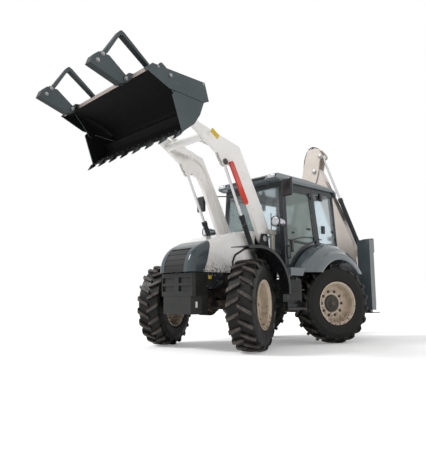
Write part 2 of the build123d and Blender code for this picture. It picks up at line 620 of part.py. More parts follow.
# ---- loader ------------------------------------------------------------------------------------------
def loader_arms():
    """Two bent box arms, the torque tube that joins them and the ram brackets."""
    knee_up, knee_low = (1890, 3350), (1860, 2770)
    edge = outline([
        (1250, 1900), (1150, 1960), (1420, 2490), knee_up, (2850, 3590), (3140, 3798), (3225, 3750),
        (3210, 3650), (2930, 3500), (2400, 3170), (2340, 3060), (2235, 2965), (2150, 3020), (1990, 2980),
        knee_low, (1590, 2190), (1420, 1800), (1330, 1730), (1250, 1780),
    ])
    edge += Pos(*LIFT) * Circle(88) + Pos(*BUCKET_PIN) * Circle(88) + Pos(*LIFT_RAM_EYE) * Circle(70)
    arm = side_plate(edge, ARM_Y0, ARM_Y1)
    pocket = outline([(2112, 2880), (2112, 3168), (2440, 3168), (2440, 2880)]) + Pos(*LIFT_RAM_EYE) * Circle(92)
    arm -= side_plate(pocket, LIFT_RAM_Y - LIFT_EYE_HALF - RUN, LIFT_RAM_Y + LIFT_EYE_HALF + RUN)
    arm += cross_bar(LIFT, TOWER_IN + TOWER_T + RUN, TOWER_OUT - RUN, 75)
    arm -= cross_bar(LIFT, TOWER_IN, TOWER_OUT + 20, PIN_R + RUN)
    arm += cross_bar(BUCKET_PIN, ARM_Y0 - 7, ARM_Y1 + 7, 62)
    arm -= cross_bar(BUCKET_PIN, ARM_Y0 - 20, ARM_Y1 + 20, PIN_R + RUN)
    arm += cross_bar(LIFT_RAM_EYE, ARM_Y1, ARM_Y1 + 8, PIN_R)
    tube = (2700, 3385)
    bracket = link_face(TILT_RAM_BASE, (2660, 3400), 52, 60)
    for y0 in (TILT_RAM_Y - TILT_RAM_R - RUN - 12, TILT_RAM_Y + TILT_RAM_R + RUN):
        arm += side_plate(bracket, y0, y0 + 12)
    arm += cross_bar(TILT_RAM_BASE, TILT_RAM_Y - 56, TILT_RAM_Y + 56, PIN_R)
    return both(arm) + cross_bar(tube, -ARM_Y0 - 5, ARM_Y0 + 5, 68)


def safety_strut():
    """Channel that locks the raised arms, carried under the left arm."""
    face = link_face((2130, 3010), (1800, 2400), 40, 40)
    channel = side_plate(face, ARM_Y1 + 20, ARM_Y1 + 28) + side_plate(face, ARM_Y1 + 58, ARM_Y1 + 66)
    rib = link_face((2130, 3010), (1800, 2400), 36, 36) - link_face((2130, 3010), (1800, 2400), 28, 28)
    channel += side_plate(rib, ARM_Y1 + 20, ARM_Y1 + 66)
    for point in ((2130, 3010), (1800, 2400)):
        channel += cross_bar(point, ARM_Y1 + RUN, ARM_Y1 + 70, 14)
    return channel


def bucket_point(u, w):
    """Machine position (X, Z) of a point given in the bucket's level axes."""
    turn = radians(BUCKET_DUMP)
    return (BUCKET_TOE[0] + u * cos(turn) - w * sin(turn), BUCKET_TOE[1] + u * sin(turn) + w * cos(turn))


def in_bucket(points):
    """List of bucket points as machine (X, Z) positions."""
    return [bucket_point(*p) for p in points]


def bucket_level(point):
    """Bucket-axes position of a machine (X, Z) point."""
    turn = radians(-BUCKET_DUMP)
    x, z = point[0] - BUCKET_TOE[0], point[1] - BUCKET_TOE[1]
    return x * cos(turn) - z * sin(turn), x * sin(turn) + z * cos(turn)


TILT_EYE = polar(BUCKET_PIN, TILT_EYE_R, TILT_EYE_ANGLE)


def sheet(start, middle, end, wall, y):
    """Rolled sheet of the bucket: an arc in the bucket's axes, from -y to y."""
    curve = ThreePointArc(*in_bucket([start, middle, end]))
    return side_plate(trace(curve, wall), -y, y)


def mouldboard():
    """Rear section of the bucket: side plates, rolled sheet, top lip, hinge ears and lugs."""
    side = outline(in_bucket([(-199, 942), (-58, 939), (-228, 541), (-640, 91), (-732, 58), (-854, 300)]))
    part = both(side_plate(side, BUCKET_HALF - 14, BUCKET_HALF))
    back = ThreePointArc(*in_bucket([(-190, 925), (-515, 545), (-700, 80)]))
    bowl = make_face(back + Line(back @ 1, back @ 0))
    part += side_plate(trace(back, 14), -1140, 1140)
    lip = outline(in_bucket([(-205, 944), (-86, 942), (-86, 905), (-175, 880)]))
    part += side_plate(lip, -BUCKET_HALF + 5, BUCKET_HALF - 5)
    heel = outline(in_bucket([(-646, 98), (-726, 66), (-736, 120), (-690, 185)]))
    part += side_plate(heel, -BUCKET_HALF + 5, BUCKET_HALF - 5)
    pin, eye = bucket_level(BUCKET_PIN), bucket_level(TILT_EYE)
    ear_t = 14
    for y in (TILT_RAM_Y - TILT_EYE_HALF - RUN - ear_t, TILT_RAM_Y + TILT_EYE_HALF + RUN, ARM_Y1 + 8):
        ear = outline(in_bucket([(pin[0], pin[1] + 60), (pin[0], pin[1] - 60), (-700, 60), (-585, 400), (-640, 470)]))
        ear += Pos(*BUCKET_PIN) * Circle(64)
        if y < ARM_Y1:
            ear += outline(in_bucket([(eye[0] - 30, eye[1] - 40), (pin[0] - 60, pin[1]), (-600, 300), (-560, 480), (eye[0] + 10, eye[1] + 55)]))
            ear += Pos(*TILT_EYE) * Circle(55)
        part += both(side_plate(ear - bowl, y, y + ear_t))
    part += both(cross_bar(BUCKET_PIN, ARM_Y0 - 26, ARM_Y1 + 26, PIN_R))
    for side_y in (-1, 1):
        for off in (-1, 1):
            y = side_y * FORK_Y + off * 73
            lug = outline(in_bucket([(-150, 935), (-90, 905), (30, 905), (60, 950), (20, 990), (-80, 990)]))
            part += side_plate(lug, y - 7, y + 7)
        part += cross_bar(bucket_point(*FORK_HINGE), side_y * FORK_Y - 84, side_y * FORK_Y + 84, 22)
    stub = cross_bar(bucket_point(*CLAM_PIVOT), 1150, BUCKET_HALF + 12, 26)
    stub += cross_bar(bucket_point(*CLAM_RAM_BASE), 1074, BUCKET_HALF - 5, 22)
    part += both(stub)
    return part - both(cross_bar(bucket_point(*CLAM_EYE), 1070, 1130, 48))


def clam():
    """Front section of the bucket: floor, side plates, hinge arms, cutting edge and teeth."""
    side = outline(in_bucket([(-212, 466), (-277, 476), (-628, 92), (-444, 2), (-255, -37), (0, -6)]))
    part = both(side_plate(side, BUCKET_HALF - 20, BUCKET_HALF))
    floor = outline(in_bucket([(-622, 96), (-444, 2), (-255, -37), (10, -6), (10, 8), (-255, -21), (-440, 18), (-614, 108)]))
    part += side_plate(floor, -BUCKET_HALF + 5, BUCKET_HALF - 5)
    edge = outline(in_bucket([(-150, -20), (20, -8), (38, 2), (20, 10), (-150, 6)]))
    part += side_plate(edge, -BUCKET_HALF, BUCKET_HALF)
    arm = outline(in_bucket([(-250, 480), (-320, 400), (-440, 560), (-420, 690), (-380, 860)])) 
    arm = (link_face(bucket_point(*CLAM_PIVOT), bucket_point(*CLAM_EYE), 60, 40)
           + link_face(bucket_point(*CLAM_PIVOT), bucket_point(-330, 430), 60, 70))
    plate = side_plate(arm, 1153, 1175.2)
    plate -= cross_bar(bucket_point(*CLAM_PIVOT), 1100, 1200, 26 + RUN)
    plate += cross_bar(bucket_point(*CLAM_EYE), 1118, 1160, 20)
    part += both(plate)
    beam = outline(in_bucket([(-520, 48), (-470, 130), (-420, 130), (-400, 0)]))
    part += side_plate(beam, -BUCKET_HALF + 5, BUCKET_HALF - 5)
    count = 8
    for i in range(count):
        y = -BUCKET_HALF + 55 + i * (2 * BUCKET_HALF - 110) / (count - 1)
        tooth = outline(in_bucket([(-60, 9), (40, 30), (160, -8), (40, -24), (-60, -13)]))
        part += side_plate(tooth, y - 32, y + 32)
    return part


def clam_rams():
    """Cylinders behind the mouldboard that swing the clam."""
    base, eye = bucket_point(*CLAM_RAM_BASE), bucket_point(*CLAM_EYE)
    y, radius = 1098, 24
    length = hypot(eye[0] - base[0], eye[1] - base[1])
    barrel = rod(at(base, eye, 0, y), at(base, eye, 470 / length, y), radius)
    barrel += cross_bar(base, y - radius, y + radius, 34)
    barrel -= cross_bar(base, y - 60, y + 60, 22 + RUN)
    tail, bore_end = (BLIND_END + 204) / length, (BLIND_END - BORE_SPARE) / length
    piston = rod(at(base, eye, tail, y), at(base, eye, 1 - 20 / length, y), 14)
    barrel -= rod(at(base, eye, bore_end, y), at(base, eye, 0.9, y), 14 + RUN)
    piston += cross_bar(eye, y - 18, y + 18, 30)
    return both(barrel), both(piston)


def fork_bracket():
    """Hollow arm that hangs a fork from the bucket's lip."""
    edge = outline(in_bucket([(-30, 962), (28, 1311), (143, 1422), (249, 1426), (354, 1375), (125, 945), (50, 910)]))
    edge += Pos(*bucket_point(*FORK_HINGE)) * Circle(48)
    part = side_plate(edge, 52, 64) + side_plate(edge, -64, -52)
    web = outline(in_bucket([(354, 1375), (125, 945), (114, 951), (338, 1371), (243, 1415), (249, 1426)]))
    part += side_plate(web, -58, 58)
    part += cross_bar(bucket_point(*FORK_HINGE), -64, 64, 40)
    part -= cross_bar(bucket_point(*FORK_HINGE), -80, 80, 22 + RUN)
    for point in (TINE_PIVOT, (235, 1339)):
        part += cross_bar(bucket_point(*point), -76, 76, 18)
    return part


def fork_tine():
    """Forged fork: shank from the bracket's bolt, heel and tapering blade."""
    heel, tip = (-379, 1469), (-547, 587)
    shank = outline(in_bucket([(118, 1340), (108, 1395), (29, 1396), (-366, 1494), (-404, 1490), (-424, 1445),
                               (-562, 590), (-545, 583), (-375, 1425), (-340, 1447), (20, 1345)]))
    shank += Pos(*bucket_point(*TINE_PIVOT)) * Circle(42)
    part = side_plate(shank, -50, 50)
    part -= cross_bar(bucket_point(*TINE_PIVOT), -60, 60, 18 + RUN)
    return part


def loader():
    """Everything ahead of the cab that lifts, tilts and opens."""
    emit("loader_arms", loader_arms())
    emit("safety_strut", safety_strut())
    barrel, piston = ram(LIFT_RAM_BASE, LIFT_RAM_EYE, LIFT_RAM_Y, LIFT_RAM_R, 24, 1240, 770, LIFT_EYE_HALF)
    emit("lift_barrels", both(barrel))
    emit("lift_rods", both(piston))
    barrel, piston = ram(TILT_RAM_BASE, TILT_EYE, TILT_RAM_Y, TILT_RAM_R, 24, 665, 545, TILT_EYE_HALF)
    emit("tilt_barrels", both(barrel))
    emit("tilt_rods", both(piston))
    emit("mouldboard", mouldboard())
    emit("clam", clam())
    barrel, piston = clam_rams()
    emit("clam_barrels", barrel)
    emit("clam_rods", piston)
    for name, shape in (("fork_brackets", fork_bracket()), ("fork_tines", fork_tine())):
        emit(name, Pos(0, FORK_Y, 0) * shape + Pos(0, -FORK_Y, 0) * shape)


# ---- backhoe --------------------------------------------------------------------------------------
def hoe_plate(face, x0, x1):
    """Face drawn in the backhoe's (R, Z) side view, between two offsets from its mid-plane."""
    side_view = Plane((SLEW_X + x1, SLEW_Y, 0), x_dir=(0, -1, 0), z_dir=(-1, 0, 0))
    return extrude(side_view * face, x1 - x0)


def hoe_bar(point, x0, x1, radius, bore=0):
    """Round bar across the backhoe's side view."""
    face = Pos(*point) * (Circle(radius) - Circle(bore) if bore else Circle(radius))
    return hoe_plate(face, x0, x1)


def hoe_point(point, x=0):
    """Machine position of a point of the backhoe's side view."""
    return SLEW_X + x, SLEW_Y - point[0], point[1]


def hoe_ram(base, eye, radius, rod_radius, barrel_length, draws_in, half, eye_half):
    """Barrel and rod of one of the backhoe's cylinders."""
    length = hypot(eye[0] - base[0], eye[1] - base[1])
    gland = barrel_length / length
    tail = (BLIND_END + draws_in) / length
    bore_end = (BLIND_END - BORE_SPARE) / length
    barrel = rod(hoe_point(base), hoe_point(between(base, eye, gland)), radius)
    barrel += rod(hoe_point(between(base, eye, gland - 60 / length)),
                  hoe_point(between(base, eye, gland + 14 / length)), radius + 7)
    barrel += hoe_bar(base, -half, half, radius + 6)
    barrel -= hoe_bar(base, -half - 5, half + 5, 25 + RUN)
    barrel -= rod(hoe_point(between(base, eye, bore_end)), hoe_point(eye), rod_radius + RUN)
    piston = rod(hoe_point(between(base, eye, tail)), hoe_point(between(base, eye, 1 - 30 / length)), rod_radius)
    piston += hoe_bar(eye, -eye_half, eye_half, 46)
    return barrel, piston


def box_arm(face, inner, half, wall):
    """Welded box: two side plates and the edge plates between them."""
    part = hoe_plate(face, half - wall, half) + hoe_plate(face, -half, -half + wall)
    part += hoe_plate(face - inner, -half + wall / 2, half - wall / 2)
    return part


def rear_frame():
    """Side-shift rails across the back and the two stabiliser housings."""
    frame = block((-1150, -1030), (-STAB_Y0 - 10, STAB_Y0 + 10), (620, 720))
    frame += block((-1150, -1030), (-STAB_Y0 - 10, STAB_Y0 + 10), (1120, 1220))
    frame += block((-1075, -1055), (-700, 700), (700, 1130))
    wall = 14
    leg = block((-1215, -1065), (STAB_Y0, STAB_Y1), (560, 1930))
    leg -= block((-1215 + wall, -1065 - wall), (STAB_Y0 + wall, STAB_Y1 - wall), (500, 1915))
    guard = block((-1278, -1222), (STAB_Y0 + 30, STAB_Y1 - 20), (1680, 1960))
    guard += block((-1225, -1210), (STAB_Y0 + 60, STAB_Y1 - 60), (1740, 1900))
    return frame + both(leg + guard)


def stabiliser(side):
    """Inner leg with its foot plate."""
    slack = 14 + RUN
    leg = block((-1215 + slack, -1065 - slack), (STAB_Y0 + slack, STAB_Y1 - slack), (600, 1880))
    leg -= block((-1215 + slack + 12, -1065 - slack - 12), (STAB_Y0 + slack + 12, STAB_Y1 - slack - 12), (640, 1890))
    foot = block((-1288, -1010), (STAB_Y0 - 40, STAB_Y1 + 30), (500, 522))
    foot += block((-1180, -1100), (STAB_Y0 + 60, STAB_Y1 - 60), (515, 605))
    shape = leg + foot
    return shape if side > 0 else mirror(shape, Plane.XZ)


def carriage():
    """Side-shift carriage: plate with claws on the rails and two slew lugs."""
    y0, y1 = SLEW_Y - 260, SLEW_Y + 175
    part = block((-1190, -1150 - RUN), (y0, y1), (610, 1235))
    for z0, z1 in ((600, 620 - RUN), (1220 + RUN, 1240)):
        part += block((-1190, -1012), (y0, y1), (z0, z1))
    for z0 in (600, 1180):
        part += block((-1030 + RUN, -1012), (y0, y1), (z0, z0 + 60))
    for z0 in (640, 1140):
        lug = link_face((0, 0), (-SLEW_X - 1180, 0), 80, 120)
        lug -= Pos(-SLEW_X - 1160 + 200, 0) * Rectangle(400, 400)
        part += extrude(Plane((SLEW_X, SLEW_Y, z0)) * lug, 50)
    part += Pos(SLEW_X, SLEW_Y, (620 + 1205) / 2) * Cylinder(40, 585)
    return part


def kingpost():
    """Slewing casting between the carriage's lugs, with the ears of boom and boom ram."""
    part = Pos(SLEW_X, SLEW_Y, 915) * (Cylinder(85, 1140 - 690 - 2 * RUN) - Cylinder(40 + RUN, 600))
    foot, base = BOOM_FOOT, BOOM_BASE
    cheek = outline([(40, 700), (40, 1120), (150, 1125), (290, 1060), (320, 960), (430, 760), (430, 680), (340, 640)])
    cheek += Pos(*foot) * Circle(80) + Pos(*base) * Circle(64)
    for x in (-118, 90):
        part += hoe_plate(cheek, x, x + 28)
    part += hoe_plate(outline([(40, 700), (40, 880), (120, 880), (120, 700)]), -100, 100)
    part -= Pos(SLEW_X, SLEW_Y, 915) * Cylinder(40 + RUN, 1400)
    for z in (646, 1184):
        part -= Pos(SLEW_X, SLEW_Y, z) * (Cylinder(200, 100) - Cylinder(85, 100))
    part += hoe_bar(foot, -124, 124, 35) + hoe_bar(base, -124, 124, 25)
    return part


def boom():
    """Bent box boom with the dipper pin at its top and ears for the rams."""
    face = outline([(150, 960), (140, 1230), (40, 1480), (130, 1950), (455, 2680), (780, 3420), (900, 3660),
                    (1060, 3700), (1100, 3560), (1060, 3420), (840, 2750), (570, 2000), (440, 1500), (320, 960)])
    face += Pos(*BOOM_FOOT) * Circle(95) + Pos(*DIPPER_PIN) * Circle(95)
    inner = outline([(175, 1100), (165, 1235), (70, 1490), (165, 1950), (490, 2680), (800, 3390), (930, 3480),
                     (1020, 3400), (805, 2760), (535, 2010), (400, 1510), (285, 1100)])
    part = box_arm(face, inner, 85, 18)
    ear = link_face(CROWD_BASE, (120, 1700), 52, 90)
    for x in (-73, 55):
        part += hoe_plate(ear, x, x + 18)
    part += hoe_bar(CROWD_BASE, -80, 80, 25)
    for x in (-73, 55):
        part += hoe_plate(link_face(BOOM_EYE, (440, 2050), 62, 80), x, x + 18)
    part -= hoe_bar(BOOM_FOOT, -100, 100, 35 + RUN) + hoe_bar(DIPPER_PIN, -100, 100, 35 + RUN)
    part -= hoe_plate(Pos(*BOOM_EYE) * Circle(75), -55, 55)
    return part


def dipper():
    """Dipper: head plates either side of the boom's end, box below, bucket pin at the tip."""
    face = outline([(850, 3900), (790, 3990), (920, 4150), (1165, 4160), (1235, 4000), (1340, 3620),
                    (1848, 1460), (1720, 1440), (1500, 2200), (945, 3470), (900, 3640)])
    face += Pos(*HOE_PIN) * Circle(82) + Pos(*CROWD_EYE) * Circle(58)
    inner = outline([(1150, 3420), (1290, 3560), (1782, 1640), (1740, 1640), (1540, 2220)])
    open_head = outline([(700, 3250), (760, 4080), (1130, 4080), (1180, 3400), (1050, 3230)])
    side = hoe_plate(face, 91, 113) + hoe_plate(face, -113, -91)
    web = hoe_plate(face - inner - open_head, -95, 95)
    web -= hoe_plate(link_face(CROWD_EYE, (880, 4060), 56, 58), -62, 62)
    part = side + web
    part += hoe_bar(DIPPER_PIN, -119, 119, 35) + hoe_bar(TIPPING_PIN, -150, 150, 25)
    part -= hoe_bar(HOE_PIN, -130, 130, 25 + RUN)
    part += both_sides(hoe_plate(link_face(CURL_BASE, (1370, 3260), 52, 70), 48, 66))
    part += hoe_bar(CURL_BASE, -70, 70, 25)
    return part


def both_sides(shape):
    """The shape and its mirror image across the backhoe's mid-plane."""
    return shape + mirror(shape, Plane.YZ.offset(SLEW_X))


def hoe_bucket():
    """Digging bucket: rolled back, side plates, ears and teeth."""
    pin, ear = HOE_PIN, BUCKET_EAR
    side = outline([(1700, 1392), (1992, 1286), (2022, 1180), (1985, 1030), (1800, 880), (1500, 850),
                    (1180, 1010), (1290, 1090)])
    shell = outline([(1700, 1392), (1992, 1286), (2022, 1180), (1985, 1030), (1800, 880), (1500, 850),
                     (1180, 1010), (1200, 1022), (1504, 868), (1792, 896), (1968, 1038), (2003, 1180),
                     (1978, 1272), (1696, 1374)])
    half = 225
    part = hoe_plate(side, half - 16, half) + hoe_plate(side, -half, -half + 16)
    part += hoe_plate(shell, -half + 4, half - 4)
    cheek = link_face(pin, ear, 62, 52) + outline([(1740, 1430), (2040, 1325), (1985, 1281), (1715, 1379)])
    part += both_sides(hoe_plate(cheek, 122, 144))
    part += hoe_bar(pin, -152, 152, 25) + both_sides(hoe_bar(ear, 115 + RUN, 152, 24))
    for i in range(4):
        x = -half + 45 + i * (2 * half - 90) / 3
        part += hoe_plate(outline([(1300, 945), (1240, 990), (1100, 1085), (1200, 985)]), x - 22, x + 22)
    return part


def tipping_links():
    """Links that carry the curl ram's eye, either side of the dipper."""
    link = link_face(TIPPING_PIN, CURL_EYE, 48, 46)
    part = both_sides(hoe_plate(link, 116.5, 130))
    part -= hoe_bar(TIPPING_PIN, -150, 150, 25 + RUN)
    return part + both_sides(hoe_bar(CURL_EYE, CURL_EYE_HALF + RUN, 130, 24))


def bucket_link():
    """Link from the tipping links' pin to the bucket's ears."""
    link = link_face(CURL_EYE, BUCKET_EAR, 44, 46)
    part = both_sides(hoe_plate(link, 96, 115))
    return part - hoe_bar(CURL_EYE, -150, 150, 24 + RUN)


def backhoe():
    """Everything behind the rear frame."""
    emit("carriage", carriage())
    emit("kingpost", kingpost())
    emit("boom", boom())
    emit("dipper", dipper())
    emit("hoe_bucket", hoe_bucket())
    rams = {
        "boom_ram": hoe_ram(BOOM_BASE, BOOM_EYE, 50, 30, 900, 186, 54, 54),
        "crowd_ram": hoe_ram(CROWD_BASE, CROWD_EYE, 45, 26, 1250, 592, 54, 54),
        "curl_ram": hoe_ram(CURL_BASE, CURL_EYE, 42, 24, 850, 395, 46, CURL_EYE_HALF),
    }
    for name, (barrel, piston) in rams.items():
        emit(name + "_barrel", barrel)
        emit(name + "_rod", piston)
    emit("tipping_links", tipping_links())
    emit("bucket_link", bucket_link())


# ---- the whole machine --------------------------------------------------------------------------
def machine():
    """Frame, body, cab and everything on them."""
    emit("chassis", chassis())
    emit("axles", axle(0) + axle(WHEELBASE))
    emit("counterweight", counterweight())
    emit("engine", engine())
    emit("front_fenders", front_fenders())
    emit("rear_fenders", rear_fenders())
    emit("hood", hood())
    emit("nose", nose())
    emit("cab_frame", cab_frame())
    emit("cab_roof", cab_roof())
    emit("cab_glass", cab_glass())
    emit("cab_interior", cab_interior())
    leaf, pane = door(1)
    for name, shape in (("door", leaf), ("door_glass", pane)):
        emit(name + "_left", shape)
        emit(name + "_right", mirror(shape, Plane.XZ))
    emit("side_tanks", side_tanks())
    emit("lamps_mirrors", lamps_mirrors())
    emit("rear_frame", rear_frame())
    emit("stabiliser_left", stabiliser(1))
    emit("stabiliser_right", stabiliser(-1))


wheels()
machine()
loader()
backhoe()
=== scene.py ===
"""Backhoe loader: looks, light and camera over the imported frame."""
import json
import math

import bpy
from mathutils import Matrix, Vector


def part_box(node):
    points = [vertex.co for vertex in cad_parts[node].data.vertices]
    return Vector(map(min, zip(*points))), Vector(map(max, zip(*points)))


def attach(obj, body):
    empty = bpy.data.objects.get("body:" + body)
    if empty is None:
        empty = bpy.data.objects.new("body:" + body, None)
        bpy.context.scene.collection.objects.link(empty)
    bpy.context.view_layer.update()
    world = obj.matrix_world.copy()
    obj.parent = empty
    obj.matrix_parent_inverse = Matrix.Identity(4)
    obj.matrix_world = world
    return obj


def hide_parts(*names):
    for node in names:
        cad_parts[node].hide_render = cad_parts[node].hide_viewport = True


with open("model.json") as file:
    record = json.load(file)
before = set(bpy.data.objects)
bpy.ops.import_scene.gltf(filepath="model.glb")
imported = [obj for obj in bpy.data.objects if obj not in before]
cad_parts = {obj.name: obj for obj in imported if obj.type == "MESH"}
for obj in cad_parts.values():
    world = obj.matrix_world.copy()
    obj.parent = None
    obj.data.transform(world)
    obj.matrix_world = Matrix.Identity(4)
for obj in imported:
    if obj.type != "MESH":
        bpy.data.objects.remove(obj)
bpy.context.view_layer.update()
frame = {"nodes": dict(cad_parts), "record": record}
nodes = frame["nodes"]
for node in nodes.values():
    node.select_set(False)


# ---- Painted steel ---------------------------------------------------------------------------------
# The frame, cab, arms and buckets are mild steel, sprayed in two-pack enamel. The coat is slightly
# rippled, and dried mud and dust sit low on the machine and wherever a surface faces up.
def group_of(name, inputs, outputs):
    """Empty shader group with named sockets; returns the group, its input node and its output node."""
    group = bpy.data.node_groups.new(name, "ShaderNodeTree")
    for socket, kind, value in inputs:
        item = group.interface.new_socket(socket, in_out="INPUT", socket_type="NodeSocket" + kind)
        item.default_value = value
    for socket, kind in outputs:
        group.interface.new_socket(socket, in_out="OUTPUT", socket_type="NodeSocket" + kind)
    return group, group.nodes.new("NodeGroupInput"), group.nodes.new("NodeGroupOutput")


def joined(tree, kind, **settings):
    """New node in a tree, its settings made and its named inputs given values or links."""
    node = tree.nodes.new("ShaderNode" + kind)
    for key, value in settings.items():
        if hasattr(node, key):
            setattr(node, key, value)
            continue
        socket = node.inputs[int(key[1:]) if key[0] == "i" and key[1:].isdigit() else key.replace("_", " ")]
        if isinstance(value, bpy.types.NodeSocket):
            tree.links.new(value, socket)
        else:
            socket.default_value = value
    return node


def noise(tree, place, scale, detail=4.0, rough=0.55):
    """Noise factor at a scale, in turns per metre."""
    node = joined(tree, "TexNoise", Vector=place, Scale=scale, Detail=detail, Roughness=rough)
    return node.outputs["Fac"]


def step(tree, value, low, high, smooth=True):
    """Value brought from low..high to 0..1."""
    node = joined(tree, "MapRange", i0=value, i1=low, i2=high)
    node.interpolation_type = "SMOOTHSTEP" if smooth else "LINEAR"
    return node.outputs["Result"]


def maths(tree, operation, a, b=0.0):
    """One Math node."""
    node = joined(tree, "Math", operation=operation, i0=a, i1=b)
    return node.outputs[0]


def mixed(tree, share, a, b):
    """Colour mixed from a to b by a share."""
    node = joined(tree, "Mix", data_type="RGBA", i0=share, i6=a, i7=b)
    return node.outputs[2]


def object_place(tree):
    """Place on the piece in the machine's own axes."""
    return joined(tree, "TexCoord").outputs["Object"]


# Dust: a share from 0 to 1 that grows downwards from Height and on faces that look up.
LOW_SHARE, UPWARD_SHARE = 0.55, 0.22
dust, dust_in, dust_out = group_of(
    "settled_dust",
    [("Amount", "Float", 0.5), ("Height", "Float", 1.2), ("Scale", "Float", 9.0)],
    [("Mask", "Float")],
)
place = object_place(dust)
patches = noise(dust, place, dust_in.outputs["Scale"], 8.0, 0.65)
height = joined(dust, "SeparateXYZ", Vector=place).outputs["Z"]
low = maths(dust, "SUBTRACT", 1.0, maths(dust, "DIVIDE", height, dust_in.outputs["Height"]))
facing = joined(dust, "SeparateXYZ", Vector=joined(dust, "NewGeometry").outputs["Normal"]).outputs["Z"]
upward = maths(dust, "MULTIPLY", maths(dust, "MAXIMUM", facing, 0.0), UPWARD_SHARE)
share = maths(dust, "ADD", maths(dust, "MULTIPLY", maths(dust, "MAXIMUM", low, 0.0), LOW_SHARE), upward)
share = maths(dust, "ADD", maths(dust, "MULTIPLY", share, dust_in.outputs["Amount"]), patches)
dust.links.new(step(dust, share, 0.55, 0.98), dust_out.inputs["Mask"])

# Ripple: the fine unevenness of a sprayed coat.
ripple, ripple_in, ripple_out = group_of(
    "spray_ripple", [("Scale", "Float", 160.0), ("Depth", "Float", 0.02)], [("Height", "Float")]
)
wave = noise(ripple, object_place(ripple), ripple_in.outputs["Scale"], 2.0, 0.5)
ripple.links.new(maths(ripple, "MULTIPLY", wave, ripple_in.outputs["Depth"]), ripple_out.inputs["Height"])

# Scuffs: thin bright scratches and rubbed patches.
scuff, scuff_in, scuff_out = group_of(
    "scuffs", [("Scale", "Float", 6.0), ("Amount", "Float", 0.3)], [("Mask", "Float")]
)
place = object_place(scuff)
drift = joined(scuff, "TexNoise", Vector=place, Scale=3.0).outputs["Color"]
drift = joined(scuff, "VectorMath", operation="SCALE", i0=drift, Scale=0.25).outputs[0]
bent = joined(scuff, "VectorMath", operation="ADD", i0=place, i1=drift).outputs[0]
streak = joined(scuff, "Mapping", Vector=bent, Scale=(1.0, 1.0, 7.0), Rotation=(0.5, 0.9, 0.2)).outputs[0]
lines = noise(scuff, streak, scuff_in.outputs["Scale"], 10.0, 0.75)
limit = maths(scuff, "SUBTRACT", 0.78, maths(scuff, "MULTIPLY", scuff_in.outputs["Amount"], 0.2))
scuff.links.new(step(scuff, maths(scuff, "SUBTRACT", lines, limit), 0.0, 0.1), scuff_out.inputs["Mask"])

MUD = (0.19, 0.13, 0.085, 1)


def use(tree, group, **values):
    """A group's node in a material, its inputs set."""
    node = tree.nodes.new("ShaderNodeGroup")
    node.node_tree = group
    for key, value in values.items():
        node.inputs[key].default_value = value
    return node


def enamel(name, colour, deep, rough=0.3, coat=0.6, mud=0.5, mud_height=1.2, mud_colour=MUD, worn=0.15,
           bare=(0.3, 0.3, 0.3, 1), gleam=0.5):
    """Sprayed enamel with slow shifts of tone, scuffs and settled dust."""
    material = bpy.data.materials.new(name)
    material.use_nodes = True
    tree = material.node_tree
    shader = tree.nodes["Principled BSDF"]
    tone = noise(tree, object_place(tree), 2.3, 3.0)
    base = mixed(tree, step(tree, tone, 0.3, 0.7), colour, deep)
    rubbed = use(tree, scuff, Scale=7.0, Amount=worn).outputs["Mask"]
    base = mixed(tree, maths(tree, "MULTIPLY", rubbed, 0.7), base, bare)
    dirty = use(tree, dust, Amount=mud, Height=mud_height, Scale=9.0).outputs["Mask"]
    base = mixed(tree, maths(tree, "MULTIPLY", dirty, 0.85), base, mud_colour)
    tree.links.new(base, shader.inputs["Base Color"])
    tree.links.new(step(tree, dirty, -rough, 1.0 - rough + 0.6, False), shader.inputs["Roughness"])
    shader.inputs["Coat Weight"].default_value = coat
    shader.inputs["Coat Roughness"].default_value = 0.08
    shader.inputs["Specular IOR Level"].default_value = gleam
    skin = use(tree, ripple, Scale=150.0, Depth=0.03).outputs["Height"]
    grit = maths(tree, "MULTIPLY", dirty, 0.5)
    bump = joined(tree, "Bump", Strength=0.25, Distance=0.004, Height=maths(tree, "ADD", skin, grit))
    tree.links.new(bump.outputs[0], shader.inputs["Normal"])
    return material


def dress(material, *names):
    """Gives CAD nodes a material."""
    for name in names:
        slots = nodes[name].data.materials
        slots.clear()
        slots.append(material)
        for face in nodes[name].data.polygons:
            face.material_index = 0


frame_paint = enamel("frame_paint", (0.02, 0.022, 0.022, 1), (0.014, 0.015, 0.016, 1),
                     rough=0.5, coat=0, mud=0.55, mud_height=1.4, gleam=0.2)
cast_paint = enamel("cast_paint", (0.022, 0.026, 0.028, 1), (0.016, 0.019, 0.02, 1),
                    rough=0.42, coat=0, mud=0.35, mud_height=1.3, gleam=0.25)
slate_paint = enamel("slate_paint", (0.1, 0.125, 0.14, 1), (0.085, 0.107, 0.12, 1),
                     rough=0.25, coat=0.7, mud=0.2, mud_height=1.5)
WHITE = (0.9, 0.885, 0.86, 1)
white_paint = enamel("white_paint", WHITE, (0.86, 0.84, 0.8, 1),
                     rough=0.28, coat=0.7, mud=0.15, mud_height=1.5, worn=0.05)
dress(frame_paint, "chassis", "axles", "engine", "knuckle_front_left", "knuckle_front_right",
      "knuckle_rear_left", "knuckle_rear_right")
dress(cast_paint, "side_tanks", "carriage", "kingpost", "tipping_links", "bucket_link")
dress(slate_paint, "rear_fenders", "cab_roof", "rear_frame", "stabiliser_left", "stabiliser_right")
dress(cast_paint, "clam_barrels", "lift_barrels", "boom_ram_barrel", "crowd_ram_barrel", "curl_ram_barrel")
dress(white_paint, "loader_arms", "tilt_barrels")


